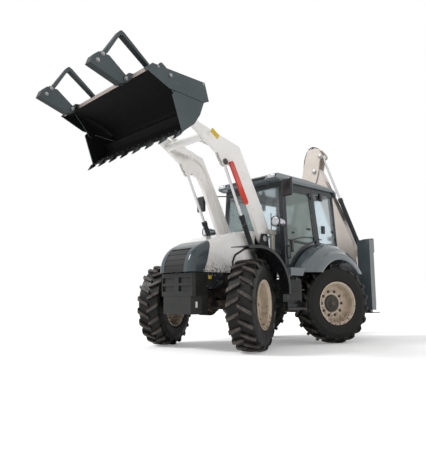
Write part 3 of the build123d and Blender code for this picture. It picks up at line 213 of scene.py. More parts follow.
# ---- Wheels ----------------------------------------------------------------------------------------
# Traction tyres of black rubber, greyed on the lugs by dust and a painted highlight, on pressed steel rims
# painted cream.
# Each rim is held by ten zinc-plated nuts on the studs of a cast hub, whose cap has eight screws.
# Spatter: small flecks of thrown mud that thicken downwards from High to Low.
spatter, spatter_in, spatter_out = group_of(
    "mud_spatter",
    [("Low", "Float", 1.2), ("High", "Float", 1.6), ("Scale", "Float", 30.0), ("Amount", "Float", 1.0)],
    [("Mask", "Float")],
)
place = object_place(spatter)
flecks = noise(spatter, joined(spatter, "Mapping", Vector=place, Scale=(1.0, 1.0, 1.6)).outputs[0],
               spatter_in.outputs["Scale"], 5.0, 0.62)
height = joined(spatter, "SeparateXYZ", Vector=place).outputs["Z"]
share = joined(spatter, "MapRange", i0=height, i1=spatter_in.outputs["High"], i2=spatter_in.outputs["Low"])
share = maths(spatter, "MULTIPLY", share.outputs["Result"], spatter_in.outputs["Amount"])
limit = maths(spatter, "SUBTRACT", 0.80, maths(spatter, "MULTIPLY", share, 0.32))
fleck = step(spatter, maths(spatter, "SUBTRACT", flecks, limit), 0.0, 0.035)
spatter.links.new(fleck, spatter_out.inputs["Mask"])


def overlaid(material, mask, colour, rough=None):
    """Lays a colour over a material's base colour where a mask from its tree is 1."""
    tree = material.node_tree
    shader = tree.nodes["Principled BSDF"]
    under = shader.inputs["Base Color"].links[0].from_socket
    tree.links.new(mixed(tree, mask, under, colour), shader.inputs["Base Color"])
    if rough is not None:
        under = shader.inputs["Roughness"].links[0].from_socket
        blend = joined(tree, "Mix", data_type="FLOAT", i0=mask, i2=under, i3=rough)
        tree.links.new(blend.outputs[0], shader.inputs["Roughness"])
    return material


def axle_line(joint_name):
    """Point and unit direction of a joint's axis."""
    joint = next(j for j in frame["record"]["behaviour"]["joints"] if j["name"] == joint_name)
    return Vector(joint["pos_m"]), Vector(joint["axis"]).normalized()


def off_axis(tree, point, axis):
    """Distance of the surface from a line, for masks that follow a turned form."""
    arm = joined(tree, "VectorMath", operation="SUBTRACT", i0=object_place(tree), i1=point)
    across = joined(tree, "VectorMath", operation="CROSS_PRODUCT", i0=arm.outputs[0], i1=axis)
    return joined(tree, "VectorMath", operation="LENGTH", i0=across.outputs[0]).outputs["Value"]


LUG_FOOT, LUG_TOP = 0.655, 0.69


def rubber(name, point, axis):
    """Tyre rubber, ringed by fine ribs on its walls, its lug faces greyed by dust and a painted highlight."""
    material = bpy.data.materials.new(name)
    material.use_nodes = True
    tree = material.node_tree
    shader = tree.nodes["Principled BSDF"]
    blotch = step(tree, noise(tree, object_place(tree), 9.0, 8.0, 0.7), 0.38, 0.68)
    radius = off_axis(tree, point, axis)
    # Lug faces are lightened by their distance from the axle: dust together with a painted highlight.
    lug = step(tree, radius, LUG_FOOT, LUG_TOP)
    crown = maths(tree, "MULTIPLY", lug, step(tree, blotch, 0.0, 1.6, False))
    lug_dust_and_highlight = maths(tree, "ADD", crown, maths(tree, "MULTIPLY", lug, 0.35))
    pale = maths(tree, "MULTIPLY", blotch, 0.35)
    base = mixed(tree, pale, (0.006, 0.006, 0.0058, 1), (0.03, 0.027, 0.023, 1))
    base = mixed(tree, lug_dust_and_highlight, base, (0.1, 0.085, 0.075, 1))
    tree.links.new(base, shader.inputs["Base Color"])
    shader.inputs["Specular IOR Level"].default_value = 0.22
    tree.links.new(step(tree, blotch, -1.0, 2.2, False), shader.inputs["Roughness"])
    ribs = maths(tree, "SINE", maths(tree, "MULTIPLY", radius, 260.0))
    fine = noise(tree, object_place(tree), 90.0, 4.0)
    height = maths(tree, "ADD", maths(tree, "MULTIPLY", ribs, 0.12), fine)
    bump = joined(tree, "Bump", Strength=0.3, Distance=0.003, Height=height)
    tree.links.new(bump.outputs[0], shader.inputs["Normal"])
    return material


def metal(name, colour, rough, patchy=0.2):
    """Bare or plated metal whose roughness drifts over the surface."""
    material = bpy.data.materials.new(name)
    material.use_nodes = True
    tree = material.node_tree
    shader = tree.nodes["Principled BSDF"]
    smear = noise(tree, object_place(tree), 40.0, 5.0)
    shader.inputs["Metallic"].default_value = 1.0
    dull = [0.72 * channel for channel in colour[:3]] + [1]
    tree.links.new(mixed(tree, smear, colour, dull), shader.inputs["Base Color"])
    drift = joined(tree, "MapRange", i0=smear, i1=0.3, i2=0.7, i3=rough, i4=rough + patchy)
    tree.links.new(drift.outputs["Result"], shader.inputs["Roughness"])
    return material


def deselect():
    """Leaves nothing selected, because an operator acts on all that is."""
    bpy.ops.object.select_all(action="DESELECT")


def edit(piece, faces="SELECT"):
    """Goes into edit mode on one piece with everything or nothing selected."""
    deselect()
    piece.select_set(True)
    bpy.context.view_layer.objects.active = piece
    bpy.ops.object.mode_set(mode="EDIT")
    bpy.ops.mesh.select_all(action=faces)


def placed(piece):
    """Puts a piece's place, turn and size into its mesh."""
    deselect()
    piece.select_set(True)
    bpy.context.view_layer.objects.active = piece
    bpy.ops.object.transform_apply(location=True, rotation=True, scale=True)
    return piece


def lathe(profile, centre, axis, steps=20):
    """Turned body: a disc drawn out along its axis through (radius, height) pairs."""
    deselect()
    bpy.ops.mesh.primitive_circle_add(vertices=steps, radius=profile[0][0], fill_type="NGON")
    piece = bpy.context.object
    edit(piece)
    for (r0, z0), (r1, z1) in zip(profile, profile[1:]):
        bpy.ops.mesh.extrude_region_move(TRANSFORM_OT_translate={"value": (0, 0, z1 - z0)})
        bpy.ops.transform.resize(value=(r1 / r0, r1 / r0, 1), center_override=(0, 0, z1 - profile[0][1]))
    bpy.ops.mesh.select_all(action="SELECT")
    bpy.ops.mesh.normals_make_consistent(inside=False)
    bpy.ops.object.mode_set(mode="OBJECT")
    bpy.ops.object.shade_smooth_by_angle(angle=math.radians(35))
    direction = Vector(axis).normalized()
    piece.rotation_euler = direction.to_track_quat("Z", "Y").to_euler()
    piece.location = Vector(centre) + profile[0][1] * direction
    return placed(piece)


def twin(piece, matrix):
    """Copy of a piece with its own mesh, moved by a matrix."""
    other = piece.copy()
    other.data = piece.data.copy()
    bpy.context.scene.collection.objects.link(other)
    other.data.transform(matrix)
    if matrix.determinant() < 0:
        other.data.flip_normals()
    return other


def hand_over(name, pieces, material, body):
    """Joins pieces into one mesh with a name, a finish and the body that carries it."""
    deselect()
    for piece in pieces:
        piece.select_set(True)
    bpy.context.view_layer.objects.active = pieces[0]
    if len(pieces) > 1:
        bpy.ops.object.join()
    whole = bpy.context.object
    whole.name = whole.data.name = name
    whole.data.materials.clear()
    whole.data.materials.append(material)
    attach(whole, body)
    deselect()
    return whole


zinc = metal("zinc_plate", (0.42, 0.42, 0.41, 1), 0.35)
dull_zinc = metal("muddy_zinc", (0.16, 0.14, 0.115, 1), 0.55)
NUTS, NUT_CIRCLE = 10, 0.215
CAP_SCREWS, CAP_CIRCLE = 8, 0.076
HUB_EDGE = 0.154
NUT = [(0.030, 0.012), (0.030, 0.016), (0.0225, 0.0165), (0.0225, 0.030), (0.018, 0.034), (0.012, 0.0345),
       (0.012, 0.041)]
CAP_SCREW = [(0.011, 0.060), (0.011, 0.068), (0.008, 0.070)]
HUB_CAP = [(0.052, 0.060), (0.052, 0.072), (0.044, 0.080), (0.020, 0.084)]
for corner in ("front_left", "front_right", "rear_left", "rear_right"):
    middle, axis = axle_line(corner + "_spin")
    outward = axis if corner.endswith("left") else -axis
    dress(rubber("rubber_" + corner, middle, axis), "tyre_" + corner)
    rim = enamel("rim_paint_" + corner, (0.64, 0.53, 0.42, 1), (0.55, 0.45, 0.34, 1), rough=0.5, coat=0.1,
                 mud=0.25, mud_height=1.6, mud_colour=(0.16, 0.105, 0.07, 1), worn=0.3)
    tree = rim.node_tree
    flung = use(tree, spatter, Low=0.3, High=1.15, Scale=26.0, Amount=1.0).outputs["Mask"]
    overlaid(rim, maths(tree, "MULTIPLY", flung, 0.85), (0.13, 0.085, 0.05, 1), 0.9)
    off_hub = step(tree, off_axis(tree, middle, axis), HUB_EDGE - 0.002, HUB_EDGE + 0.002)
    hub = maths(tree, "SUBTRACT", 1.0, off_hub)
    overlaid(rim, hub, (0.045, 0.043, 0.034, 1), 0.6)
    dress(rim, "rim_" + corner)
    side = outward.cross(Vector((0, 0, 1)))
    nuts = []
    nut = lathe(NUT, middle + NUT_CIRCLE * side, outward, 6)
    screw = lathe(CAP_SCREW, middle + CAP_CIRCLE * side, outward, 6)
    about = Matrix.Translation(middle)
    for pattern, count in ((nut, NUTS), (screw, CAP_SCREWS)):
        for i in range(1, count):
            turn = Matrix.Rotation(2 * math.pi * i / count, 4, outward)
            nuts.append(twin(pattern, about @ turn @ about.inverted()))
    cap = lathe(HUB_CAP, middle, outward, 24)
    hand_over("wheel_nuts_" + corner, [nut, screw, cap] + nuts, dull_zinc, corner + "_wheel")


# ---- Front weight ----------------------------------------------------------------------------------
# The nose weight is one iron casting, sprayed dark. A folded steel cover closes each side behind it,
# held by six screws. The small plates stuck to them are blank.
def rolled(piece, width, segments=3):
    """Rounds every edge of a piece."""
    roll = piece.modifiers.new("roll", "BEVEL")
    roll.width = width
    roll.segments = segments
    roll.limit_method = "ANGLE"
    deselect()
    piece.select_set(True)
    bpy.context.view_layer.objects.active = piece
    bpy.ops.object.modifier_apply(modifier="roll")
    bpy.ops.object.shade_smooth_by_angle(angle=math.radians(35))
    return piece


def slab(low, high, width, segments=3):
    """Block between two corners with rolled edges."""
    deselect()
    low, high = Vector(low), Vector(high)
    bpy.ops.mesh.primitive_cube_add(size=1, location=(low + high) / 2, scale=high - low)
    return rolled(placed(bpy.context.object), width, segments)


ACROSS = Matrix.Diagonal((1, -1, 1, 1))


def mirrored(piece):
    """The piece's copy on the machine's other side."""
    return twin(piece, ACROSS)


iron = enamel("cast_iron_paint", (0.027, 0.029, 0.027, 1), (0.018, 0.02, 0.019, 1), rough=0.45, coat=0,
              mud=0.3, mud_height=1.3, mud_colour=(0.07, 0.06, 0.048, 1), worn=0.1, gleam=0.2)
dress(iron, "counterweight")
cover_steel = enamel("cover_paint", (0.03, 0.036, 0.042, 1), (0.024, 0.029, 0.034, 1),
                     rough=0.35, coat=0.2, mud=0.2, mud_height=1.2, gleam=0.3)
WEIGHT_LOW, WEIGHT_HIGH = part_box("counterweight")
BACK, TOP = WEIGHT_LOW[0], WEIGHT_HIGH[2]
COVER_FACE = WEIGHT_HIGH[1] - 0.002
COVER_REACH, COVER_DROP, COVER_THICK = 0.34, 0.25, 0.014
cover = slab((BACK - COVER_REACH, COVER_FACE - COVER_THICK, TOP - COVER_DROP),
             (BACK + 0.07, COVER_FACE, TOP + 0.004), 0.003)
edit(cover)
bpy.ops.mesh.bisect(plane_co=(BACK - 0.16, 0, TOP - COVER_DROP), plane_no=(-0.55, 0, -1),
                    clear_outer=True, use_fill=True)
bpy.ops.object.mode_set(mode="OBJECT")
hand_over("side_cover_left", [cover], cover_steel, "machine")
hand_over("side_cover_right", [mirrored(cover)], cover_steel, "machine")
SCREW = [(0.013, 0.0), (0.012, 0.0015), (0.008, 0.0028)]
screws = []
for along, down in ((-0.02, 0.03), (-0.10, 0.035), (-0.16, 0.035), (0.02, 0.205), (-0.06, 0.235),
                    (-0.22, 0.12)):
    screws.append(lathe(SCREW, (BACK + along, COVER_FACE, TOP - down), (0, 1, 0), 12))
screws += [mirrored(screw) for screw in screws]
hand_over("side_cover_screws", screws, zinc, "machine")


def sticker(name, colour):
    """Plain printed vinyl, slightly faded in patches."""
    material = bpy.data.materials.new(name)
    material.use_nodes = True
    tree = material.node_tree
    shader = tree.nodes["Principled BSDF"]
    fade = noise(tree, object_place(tree), 60.0, 3.0)
    faded = [0.8 * channel for channel in colour[:3]] + [1]
    tree.links.new(mixed(tree, fade, colour, faded), shader.inputs["Base Color"])
    shader.inputs["Roughness"].default_value = 0.35
    return material


yellow_vinyl = sticker("yellow_vinyl", (0.75, 0.5, 0.02, 1))
white_vinyl = sticker("white_vinyl", (0.8, 0.8, 0.8, 1))
mark = slab((BACK - 0.085, COVER_FACE - 0.0005, TOP - 0.095),
            (BACK - 0.015, COVER_FACE + 0.0015, TOP - 0.04), 0.0008)
hand_over("blank_mark_left", [mark], yellow_vinyl, "machine")
hand_over("blank_mark_right", [mirrored(mark)], yellow_vinyl, "machine")
label = slab((-0.016, -0.001, -0.045), (0.016, 0.001, 0.045), 0.0008)
label.data.transform(Matrix.Translation((1.2, 0.3825, 0.71)) @ Matrix.Rotation(math.radians(-25.8), 4, "Z"))
hand_over("blank_label", [label], white_vinyl, "machine")


# ---- Bonnet and nose -------------------------------------------------------------------------------
# The bonnet is a pressed steel shell in the arms' white, spattered along its lower edge. The nose is
# a slate cowl with black louvres, and a round catch on each side holds it shut.
bonnet_paint = enamel("bonnet_paint", WHITE, (0.84, 0.82, 0.78, 1),
                      rough=0.3, coat=0.6, mud=0.1, mud_height=1.5, worn=0.05)
tree = bonnet_paint.node_tree
haze = use(tree, spatter, Low=1.15, High=1.75, Scale=5.0, Amount=1.1).outputs["Mask"]
overlaid(bonnet_paint, maths(tree, "MULTIPLY", haze, 0.3), (0.42, 0.36, 0.28, 1), 0.6)
flung = use(tree, spatter, Low=1.2, High=1.62, Scale=34.0, Amount=1.0).outputs["Mask"]
overlaid(bonnet_paint, maths(tree, "MULTIPLY", flung, 0.9), (0.075, 0.07, 0.045, 1), 0.85)
dress(bonnet_paint, "hood")
GRILLE_HALF, GRILLE_TOP = 0.247, 1.6
cowl_paint = enamel("cowl_paint", (0.06, 0.078, 0.088, 1), (0.05, 0.066, 0.075, 1),
                    rough=0.3, coat=0.15, mud=0.15, mud_height=1.5, gleam=0.3)
tree = cowl_paint.node_tree
place = joined(tree, "SeparateXYZ", Vector=object_place(tree))
inside = step(tree, maths(tree, "ABSOLUTE", place.outputs["Y"]), GRILLE_HALF + 0.002, GRILLE_HALF - 0.002)
under = step(tree, place.outputs["Z"], GRILLE_TOP + 0.005, GRILLE_TOP - 0.005)
overlaid(cowl_paint, maths(tree, "MULTIPLY", inside, under), (0.006, 0.006, 0.006, 1), 0.6)
dress(cowl_paint, "nose")
NOSE_LOW, NOSE_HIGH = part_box("nose")
CATCH = [(0.022, 0.0), (0.022, 0.004), (0.015, 0.005), (0.015, 0.007), (0.010, 0.008)]
button = lathe(CATCH, (NOSE_LOW[0] + 0.15, NOSE_HIGH[1] - 0.001, 1.24), (0, 1, 0), 16)
hand_over("bonnet_catches", [button, mirrored(button)], zinc, "bonnet")


# ---- Fenders and cab trim --------------------------------------------------------------------------
# Fenders over the front wheels are black polyethylene with a satin skin. Doors and their frames are
# sprayed black, and the cab's panes are lightly tinted toughened glass.
def moulding(name, colour, rough):
    """Grained plastic, dusty towards the ground."""
    material = bpy.data.materials.new(name)
    material.use_nodes = True
    tree = material.node_tree
    shader = tree.nodes["Principled BSDF"]
    grain = noise(tree, object_place(tree), 260.0, 3.0)
    dirty = use(tree, dust, Amount=0.3, Height=1.3, Scale=12.0).outputs["Mask"]
    base = mixed(tree, maths(tree, "MULTIPLY", dirty, 0.5), colour, (0.1, 0.08, 0.06, 1))
    tree.links.new(base, shader.inputs["Base Color"])
    tree.links.new(step(tree, dirty, -rough, 1.3 - rough, False), shader.inputs["Roughness"])
    bump = joined(tree, "Bump", Strength=0.2, Distance=0.001, Height=grain)
    tree.links.new(bump.outputs[0], shader.inputs["Normal"])
    return material


black_moulding = moulding("black_moulding", (0.012, 0.012, 0.014, 1), 0.3)
dress(black_moulding, "front_fenders")
door_paint = enamel("door_paint", (0.024, 0.03, 0.032, 1), (0.018, 0.023, 0.025, 1),
                    rough=0.35, coat=0.2, mud=0.2, mud_height=1.4, worn=0.05, gleam=0.3)
dress(door_paint, "door_left", "door_right", "cab_frame")


def glazing(name, tint, deep, clear):
    """Toughened glass; clear is how much of it lets light through, the rest being its tint and dust."""
    material = bpy.data.materials.new(name)
    material.use_nodes = True
    tree = material.node_tree
    shader = tree.nodes["Principled BSDF"]
    shader.inputs["Transmission Weight"].default_value = clear
    shader.inputs["IOR"].default_value = 1.45
    smear = noise(tree, object_place(tree), 3.0, 3.0)
    tree.links.new(mixed(tree, smear, tint, deep), shader.inputs["Base Color"])
    tree.links.new(step(tree, smear, -0.5, 14.0, False), shader.inputs["Roughness"])
    bump = joined(tree, "Bump", Strength=0.05, Distance=0.002, Height=smear)
    tree.links.new(bump.outputs[0], shader.inputs["Normal"])
    return material


clear_glass = glazing("clear_glass", (0.84, 0.92, 0.95, 1), (0.78, 0.86, 0.9, 1), clear=0.95)
tinted_glass = glazing("tinted_glass", (0.36, 0.44, 0.41, 1), (0.3, 0.37, 0.35, 1), clear=0.62)
dress(clear_glass, "cab_glass")
dress(tinted_glass, "door_glass_left", "door_glass_right")


# ---- Cab fittings ----------------------------------------------------------------------------------
# Catches, hinges and pull handles of black nylon are screwed through the panes, and a bent rail crosses
# each door. The wiper is folded steel with a rubber blade, and stands upright on the windscreen.
SILL, EAVES = 1.24, 2.85
HALF_AT_SILL, HALF_AT_EAVES = 0.79, 0.70


def cab_side(z):
    """Half the cab's width at a height."""
    return HALF_AT_SILL - (HALF_AT_SILL - HALF_AT_EAVES) * (z - SILL) / (EAVES - SILL)


def catch(x, z):
    """Turning catch of a window: a lever on a round boss."""
    y = cab_side(z)
    lever = slab((x - 0.05, y - 0.016, z - 0.014), (x + 0.05, y + 0.016, z + 0.014), 0.008)
    boss = lathe([(0.02, 0), (0.02, 0.03), (0.014, 0.034)], (x - 0.03, y - 0.02, z), (0, 1, 0), 14)
    return [lever, boss]


rear_catch = catch(-2.0, 2.06)
hinges = []
for z in (2.07, 2.70):
    y = cab_side(z)
    hinges.append(slab((-1.70, y - 0.01, z - 0.075), (-1.615, y + 0.035, z + 0.075), 0.014))
near_side = rear_catch + hinges
far_side = [mirrored(piece) for piece in near_side]
hand_over("window_catches_and_hinges", near_side + far_side, black_moulding, "machine")


def pipe(points, radius, name="pipe"):
    """Bent tube along a smooth line through given points."""
    line = bpy.data.curves.new(name, "CURVE")
    line.dimensions = "3D"
    spline = line.splines.new("NURBS")
    spline.points.add(len(points) - 1)
    for knot, point in zip(spline.points, points):
        knot.co = (*point, 1)
    spline.order_u = 3
    spline.use_endpoint_u = True
    line.bevel_depth = radius
    line.bevel_resolution = 3
    line.use_fill_caps = True
    piece = bpy.data.objects.new(name, line)
    bpy.context.scene.collection.objects.link(piece)
    deselect()
    piece.select_set(True)
    bpy.context.view_layer.objects.active = piece
    bpy.ops.object.convert(target="MESH")
    bpy.ops.object.shade_smooth_by_angle(angle=math.radians(50))
    return bpy.context.object


grip = slab((-0.725, cab_side(1.71) - 0.02, 1.60), (-0.665, cab_side(1.71) + 0.022, 1.82), 0.014)
LOCK = [(0.016, 0), (0.016, 0.024), (0.011, 0.028)]
lock = lathe(LOCK, (-0.76, cab_side(1.95) - 0.012, 1.95), (0, 1, 0), 14)
RAIL_STAND = 0.004
rail = pipe([(-0.70, cab_side(1.81) + RAIL_STAND, 1.81), (-0.90, cab_side(1.86) + RAIL_STAND, 1.865),
             (-1.2, cab_side(1.9) + RAIL_STAND, 1.90), (-1.45, cab_side(1.9) + RAIL_STAND, 1.898),
             (-1.60, cab_side(1.88) + RAIL_STAND, 1.875)], 0.009)
left_trim = [grip, lock, rail] + catch(-1.22, 2.05)
right_trim = [mirrored(piece) for piece in left_trim]
hand_over("door_trim_left", left_trim, black_moulding, "left_door")
hand_over("door_trim_right", right_trim, black_moulding, "right_door")
wiper = [pipe([(-0.468, 0.10, 1.56), (-0.462, 0.30, 1.60), (-0.466, 0.50, 1.98)], 0.006),
         slab((-0.480, 0.478, 1.74), (-0.470, 0.492, 2.30), 0.002),
         lathe([(0.03, 0), (0.03, 0.03), (0.022, 0.036)], (-0.49, 0.10, 1.56), (1, 0, 0), 16)]
hand_over("windscreen_wiper", wiper, black_moulding, "machine")


# ---- Seat and controls -----------------------------------------------------------------------------
# A sprung seat with two woven-cloth cushions stands on a steel box between side consoles. A moulded
# dashboard carries the steering column, and four levers work the arms.
cloth = bpy.data.materials.new("seat_cloth")
cloth.use_nodes = True
tree = cloth.node_tree
shader = tree.nodes["Principled BSDF"]
weave = joined(tree, "TexWave", Vector=object_place(tree), Scale=140.0, Distortion=1.5)
across = joined(tree, "TexWave", bands_direction="Y", Vector=object_place(tree), Scale=140.0, Distortion=1.5)
threads = maths(tree, "MULTIPLY", weave.outputs["Fac"], across.outputs["Fac"])
yarn = mixed(tree, threads, (0.03, 0.032, 0.036, 1), (0.075, 0.078, 0.085, 1))
tree.links.new(yarn, shader.inputs["Base Color"])
shader.inputs["Roughness"].default_value = 0.9
shader.inputs["Sheen Weight"].default_value = 0.3
bump = joined(tree, "Bump", Strength=0.4, Distance=0.001, Height=threads)
tree.links.new(bump.outputs[0], shader.inputs["Normal"])


DRAWN_IN = 0.025


def cushion(low, high, crown):
    """Crowned pad: a finely divided block whose faces swell and whose sides draw in."""
    low, high = Vector(low), Vector(high)
    deselect()
    bpy.ops.mesh.primitive_cube_add(size=2)
    piece = bpy.context.object
    edit(piece)
    bpy.ops.mesh.subdivide(number_cuts=11)
    bpy.ops.object.mode_set(mode="OBJECT")
    for vertex in piece.data.vertices:
        x, y, z = vertex.co
        swell = (1 - x ** 4) * (1 - y ** 4)
        vertex.co = (x * (1 - DRAWN_IN * (1 - y * y)), y * (1 - DRAWN_IN * (1 - x * x)),
                     z * (1 - crown) + crown * z * swell)
    middle, size = (low + high) / 2, (high - low) / 2
    piece.data.transform(Matrix.Translation(middle) @ Matrix.Diagonal((*size, 1)))
    return rolled(piece, 0.02, 3)


seat_pad = cushion((-1.49, -0.25, 1.55), (-0.99, 0.25, 1.68), 0.35)
back_pad = cushion((-1.50, -0.24, 1.69), (-1.38, 0.24, 2.24), 0.3)
hip = Matrix.Translation((-1.44, 0, 1.68))
lean = Matrix.Rotation(math.radians(-7), 4, "Y")
back_pad.data.transform(hip @ lean @ hip.inverted())
hand_over("seat_cushion", [seat_pad], cloth, "machine")
hand_over("seat_back", [back_pad], cloth, "machine")
dash_plastic = moulding("dash_plastic", (0.035, 0.036, 0.037, 1), 0.5)
CAB_FLOOR = 1.275
desk = slab((-0.74, -0.2, CAB_FLOOR), (-0.55, 0.2, 1.78), 0.035, 4)
edit(desk)
bpy.ops.mesh.bisect(plane_co=(-0.62, 0, 1.78), plane_no=(0.35, 0, 1), clear_outer=True, use_fill=True)
bpy.ops.object.mode_set(mode="OBJECT")
console = slab((-1.66, 0.3, CAB_FLOOR), (-1.06, 0.42, 1.78), 0.025, 4)
seat_box = slab((-1.50, -0.25, CAB_FLOOR), (-1.0, 0.25, 1.54), 0.02, 3)
fittings = [desk, console, mirrored(console), seat_box]
hand_over("dashboard_and_consoles", fittings, dash_plastic, "machine")
column = pipe([(-0.71, 0, 1.74), (-0.76, 0, 1.88), (-0.80, 0, 2.01)], 0.03)
deselect()
bpy.ops.mesh.primitive_torus_add(major_radius=0.19, minor_radius=0.014, major_segments=40, minor_segments=10)
ring = bpy.context.object
spoke = slab((-0.185, -0.02, -0.008), (0.185, 0.02, 0.008), 0.006)
boss = lathe([(0.05, -0.02), (0.05, 0.01), (0.035, 0.018)], (0, 0, 0), (0, 0, 1), 20)
raked = Vector((-90, 0, 250)).to_track_quat("Z", "Y").to_matrix().to_4x4()
for part in (ring, spoke, boss):
    part.data.transform(Matrix.Translation((-0.805, 0, 2.024)) @ raked)
bpy.ops.object.shade_smooth()
levers = [column, ring, spoke, boss]
KNOB = [(0.012, 0), (0.022, 0.02), (0.022, 0.04), (0.010, 0.055)]
for y in (-0.36, 0.36):
    for x in (-1.15, -1.25):
        levers.append(pipe([(x, y, 1.77), (x + 0.01, y, 1.9), (x + 0.05, y, 1.98)], 0.007))
        levers.append(lathe(KNOB, (x + 0.05, y, 1.97), (0, 0, 1), 14))
wheel_and_levers = hand_over("steering_wheel_and_levers", levers, dash_plastic, "machine")
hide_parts("cab_interior")


# ---- Lamps and mirrors -----------------------------------------------------------------------------
# Two headlamps with bright reflectors stand out on stalks, mirrors with black shells hang on tube arms,
# and work lamps are let into the roof's visor and its back edge.
clear_lens = bpy.data.materials.new("lamp_lens")
clear_lens.use_nodes = True
tree = clear_lens.node_tree
shader = tree.nodes["Principled BSDF"]
flutes = joined(tree, "TexWave", bands_direction="Y", Vector=object_place(tree), Scale=30.0)
fluted = mixed(tree, flutes.outputs["Fac"], (0.35, 0.36, 0.42, 1), (0.85, 0.87, 0.9, 1))
tree.links.new(fluted, shader.inputs["Base Color"])
shader.inputs["Metallic"].default_value = 0.35
shader.inputs["Roughness"].default_value = 0.08
shader.inputs["Coat Weight"].default_value = 1.0
bump = joined(tree, "Bump", Strength=0.4, Distance=0.002, Height=flutes.outputs["Fac"])
tree.links.new(bump.outputs[0], shader.inputs["Normal"])
reflector = metal("lamp_chrome", (0.6, 0.59, 0.64, 1), 0.12, 0.2)
LAMP, BEAM = (-0.285, 0.86, 2.075), (1, 0.12, 0)
SHELL = [(0.020, -0.090), (0.048, -0.074), (0.064, -0.03), (0.074, 0.05), (0.082, 0.13), (0.086, 0.155)]
BEZEL = [(0.080, 0.148), (0.092, 0.150), (0.094, 0.166), (0.090, 0.174), (0.079, 0.176), (0.078, 0.160)]
LENS = [(0.080, 0.158), (0.077, 0.168), (0.055, 0.180), (0.028, 0.185)]
shell, bezel, lens = [lathe(profile, LAMP, BEAM, 36) for profile in (SHELL, BEZEL, LENS)]
stalk = pipe([(-0.56, 0.725, 2.06), (-0.42, 0.79, 2.055), (-0.33, 0.83, 2.06), (-0.30, 0.855, 2.072)], 0.011)
foot = lathe([(0.03, -0.004), (0.03, 0.008), (0.016, 0.014)], (-0.553, 0.728, 2.06), (0.9, 0.42, 0), 18)
hand_over("headlamp_shells", [shell, mirrored(shell)], reflector, "machine")
hand_over("headlamp_lenses", [lens, mirrored(lens)], clear_lens, "machine")
hand_over("headlamp_bezels", [bezel, mirrored(bezel)], black_moulding, "machine")
arm = pipe([(-0.58, 0.66, 2.79), (-0.45, 0.84, 2.80), (-0.32, 0.99, 2.795), (-0.225, 1.05, 2.78),
            (-0.215, 1.075, 2.70)], 0.011)
housing = slab((-0.238, 0.975, 2.49), (-0.172, 1.185, 2.80), 0.028, 5)
stays = [stalk, foot, arm]
stays += [mirrored(piece) for piece in stays]
whole = hand_over("mirror_arms_and_stalks", stays, black_moulding, "machine")
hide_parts("lamps_mirrors")
hand_over("mirror_shells", [housing, mirrored(housing)], black_moulding, "machine")
silver = metal("mirror_silver", (0.8, 0.82, 0.83, 1), 0.02, 0.03)
glass = slab((-0.2415, 0.992, 2.51), (-0.2365, 1.168, 2.78), 0.002)
hand_over("mirror_glass", [glass, mirrored(glass)], silver, "machine")
ROOF_LOW, ROOF_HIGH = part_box("cab_roof")
front, rear = ROOF_HIGH[0], ROOF_LOW[0]
bezel = slab((front - 0.06, 0.52, 2.895), (front + 0.004, 0.715, 2.972), 0.012, 4)
glow = slab((front - 0.02, 0.532, 2.905), (front + 0.009, 0.703, 2.962), 0.010, 4)
back_bezel = slab((rear - 0.004, 0.46, 2.80), (rear + 0.06, 0.60, 2.875), 0.012, 4)
back_glow = slab((rear - 0.009, 0.472, 2.81), (rear + 0.02, 0.588, 2.865), 0.010, 4)
strip = slab((front - 0.05, -0.46, 2.902), (front + 0.001, 0.46, 2.958), 0.006, 3)
frames = [bezel, mirrored(bezel), back_bezel, mirrored(back_bezel), strip]
hand_over("work_lamp_bezels", frames, black_moulding, "machine")
lenses = [glow, mirrored(glow), back_glow, mirrored(back_glow)]
hand_over("work_lamp_lenses", lenses, clear_lens, "machine")


# ---- Tanks and steps -------------------------------------------------------------------------------
# The fuel tank and the battery box carry a black filler cap, and the steps between the wheels have
# pressed studs for grip.
FILLER = [(0.045, 0), (0.045, 0.025), (0.038, 0.032), (0.020, 0.036)]
filler = lathe(FILLER, (-0.34, 0.80, 1.108), (0, 0, 1), 20)
STUD_COLUMNS, STUD_ROWS = 11, 2
STUD_PITCH, ROW_PITCH = 0.044, 0.05
studs = []
stud = lathe([(0.009, 0), (0.007, 0.004), (0.004, 0.005)], (-0.68, 0.95, 0.628), (0, 0, 1), 8)
for column in range(STUD_COLUMNS):
    for row in range(STUD_ROWS):
        studs.append(twin(stud, Matrix.Translation((STUD_PITCH * column, ROW_PITCH * row, 0))))
bpy.data.objects.remove(stud)
studs += [mirrored(stud) for stud in studs]
hand_over("step_studs", studs, zinc, "machine")
hand_over("filler_caps", [filler, mirrored(filler)], black_moulding, "machine")


# ---- Loader arms and rams --------------------------------------------------------------------------
# The arms are welded boxes in white, hung on headed pins that a screw keeps from turning. Steel pipes
# clipped to their inner walls feed the bucket's rams. The rods are chrome plated, and the lock for the
# raised arms is red.
chrome = metal("chrome_plate", (0.72, 0.72, 0.73, 1), 0.1, 0.15)
dress(chrome, *[name for name in nodes if name.endswith("_rods") or name.endswith("_rod")])
red_paint = enamel("red_paint", (0.75, 0.07, 0.035, 1), (0.6, 0.035, 0.02, 1),
                   rough=0.3, coat=0.6, mud=0.1, mud_height=0.5, worn=0.05)
dress(red_paint, "safety_strut")
PIN_HEAD = [(0.052, 0.0), (0.052, 0.009), (0.046, 0.013), (0.016, 0.0132), (0.016, 0.021), (0.010, 0.024)]
heads = [lathe(PIN_HEAD, (x, y, z), (0, 1, 0), 24)
         for x, y, z in ((-0.23, 0.542, 1.82), (-0.26, 0.542, 1.05))]
heads += [mirrored(head) for head in heads]
hand_over("tower_pin_heads", heads, zinc, "machine")
head = lathe(PIN_HEAD, (0.675, 0.513, 3.033), (0, 1, 0), 24)
dark_pins = metal("oiled_steel", (0.12, 0.115, 0.11, 1), 0.35)
hand_over("ram_pin_heads", [head, mirrored(head)], dark_pins, "arms")
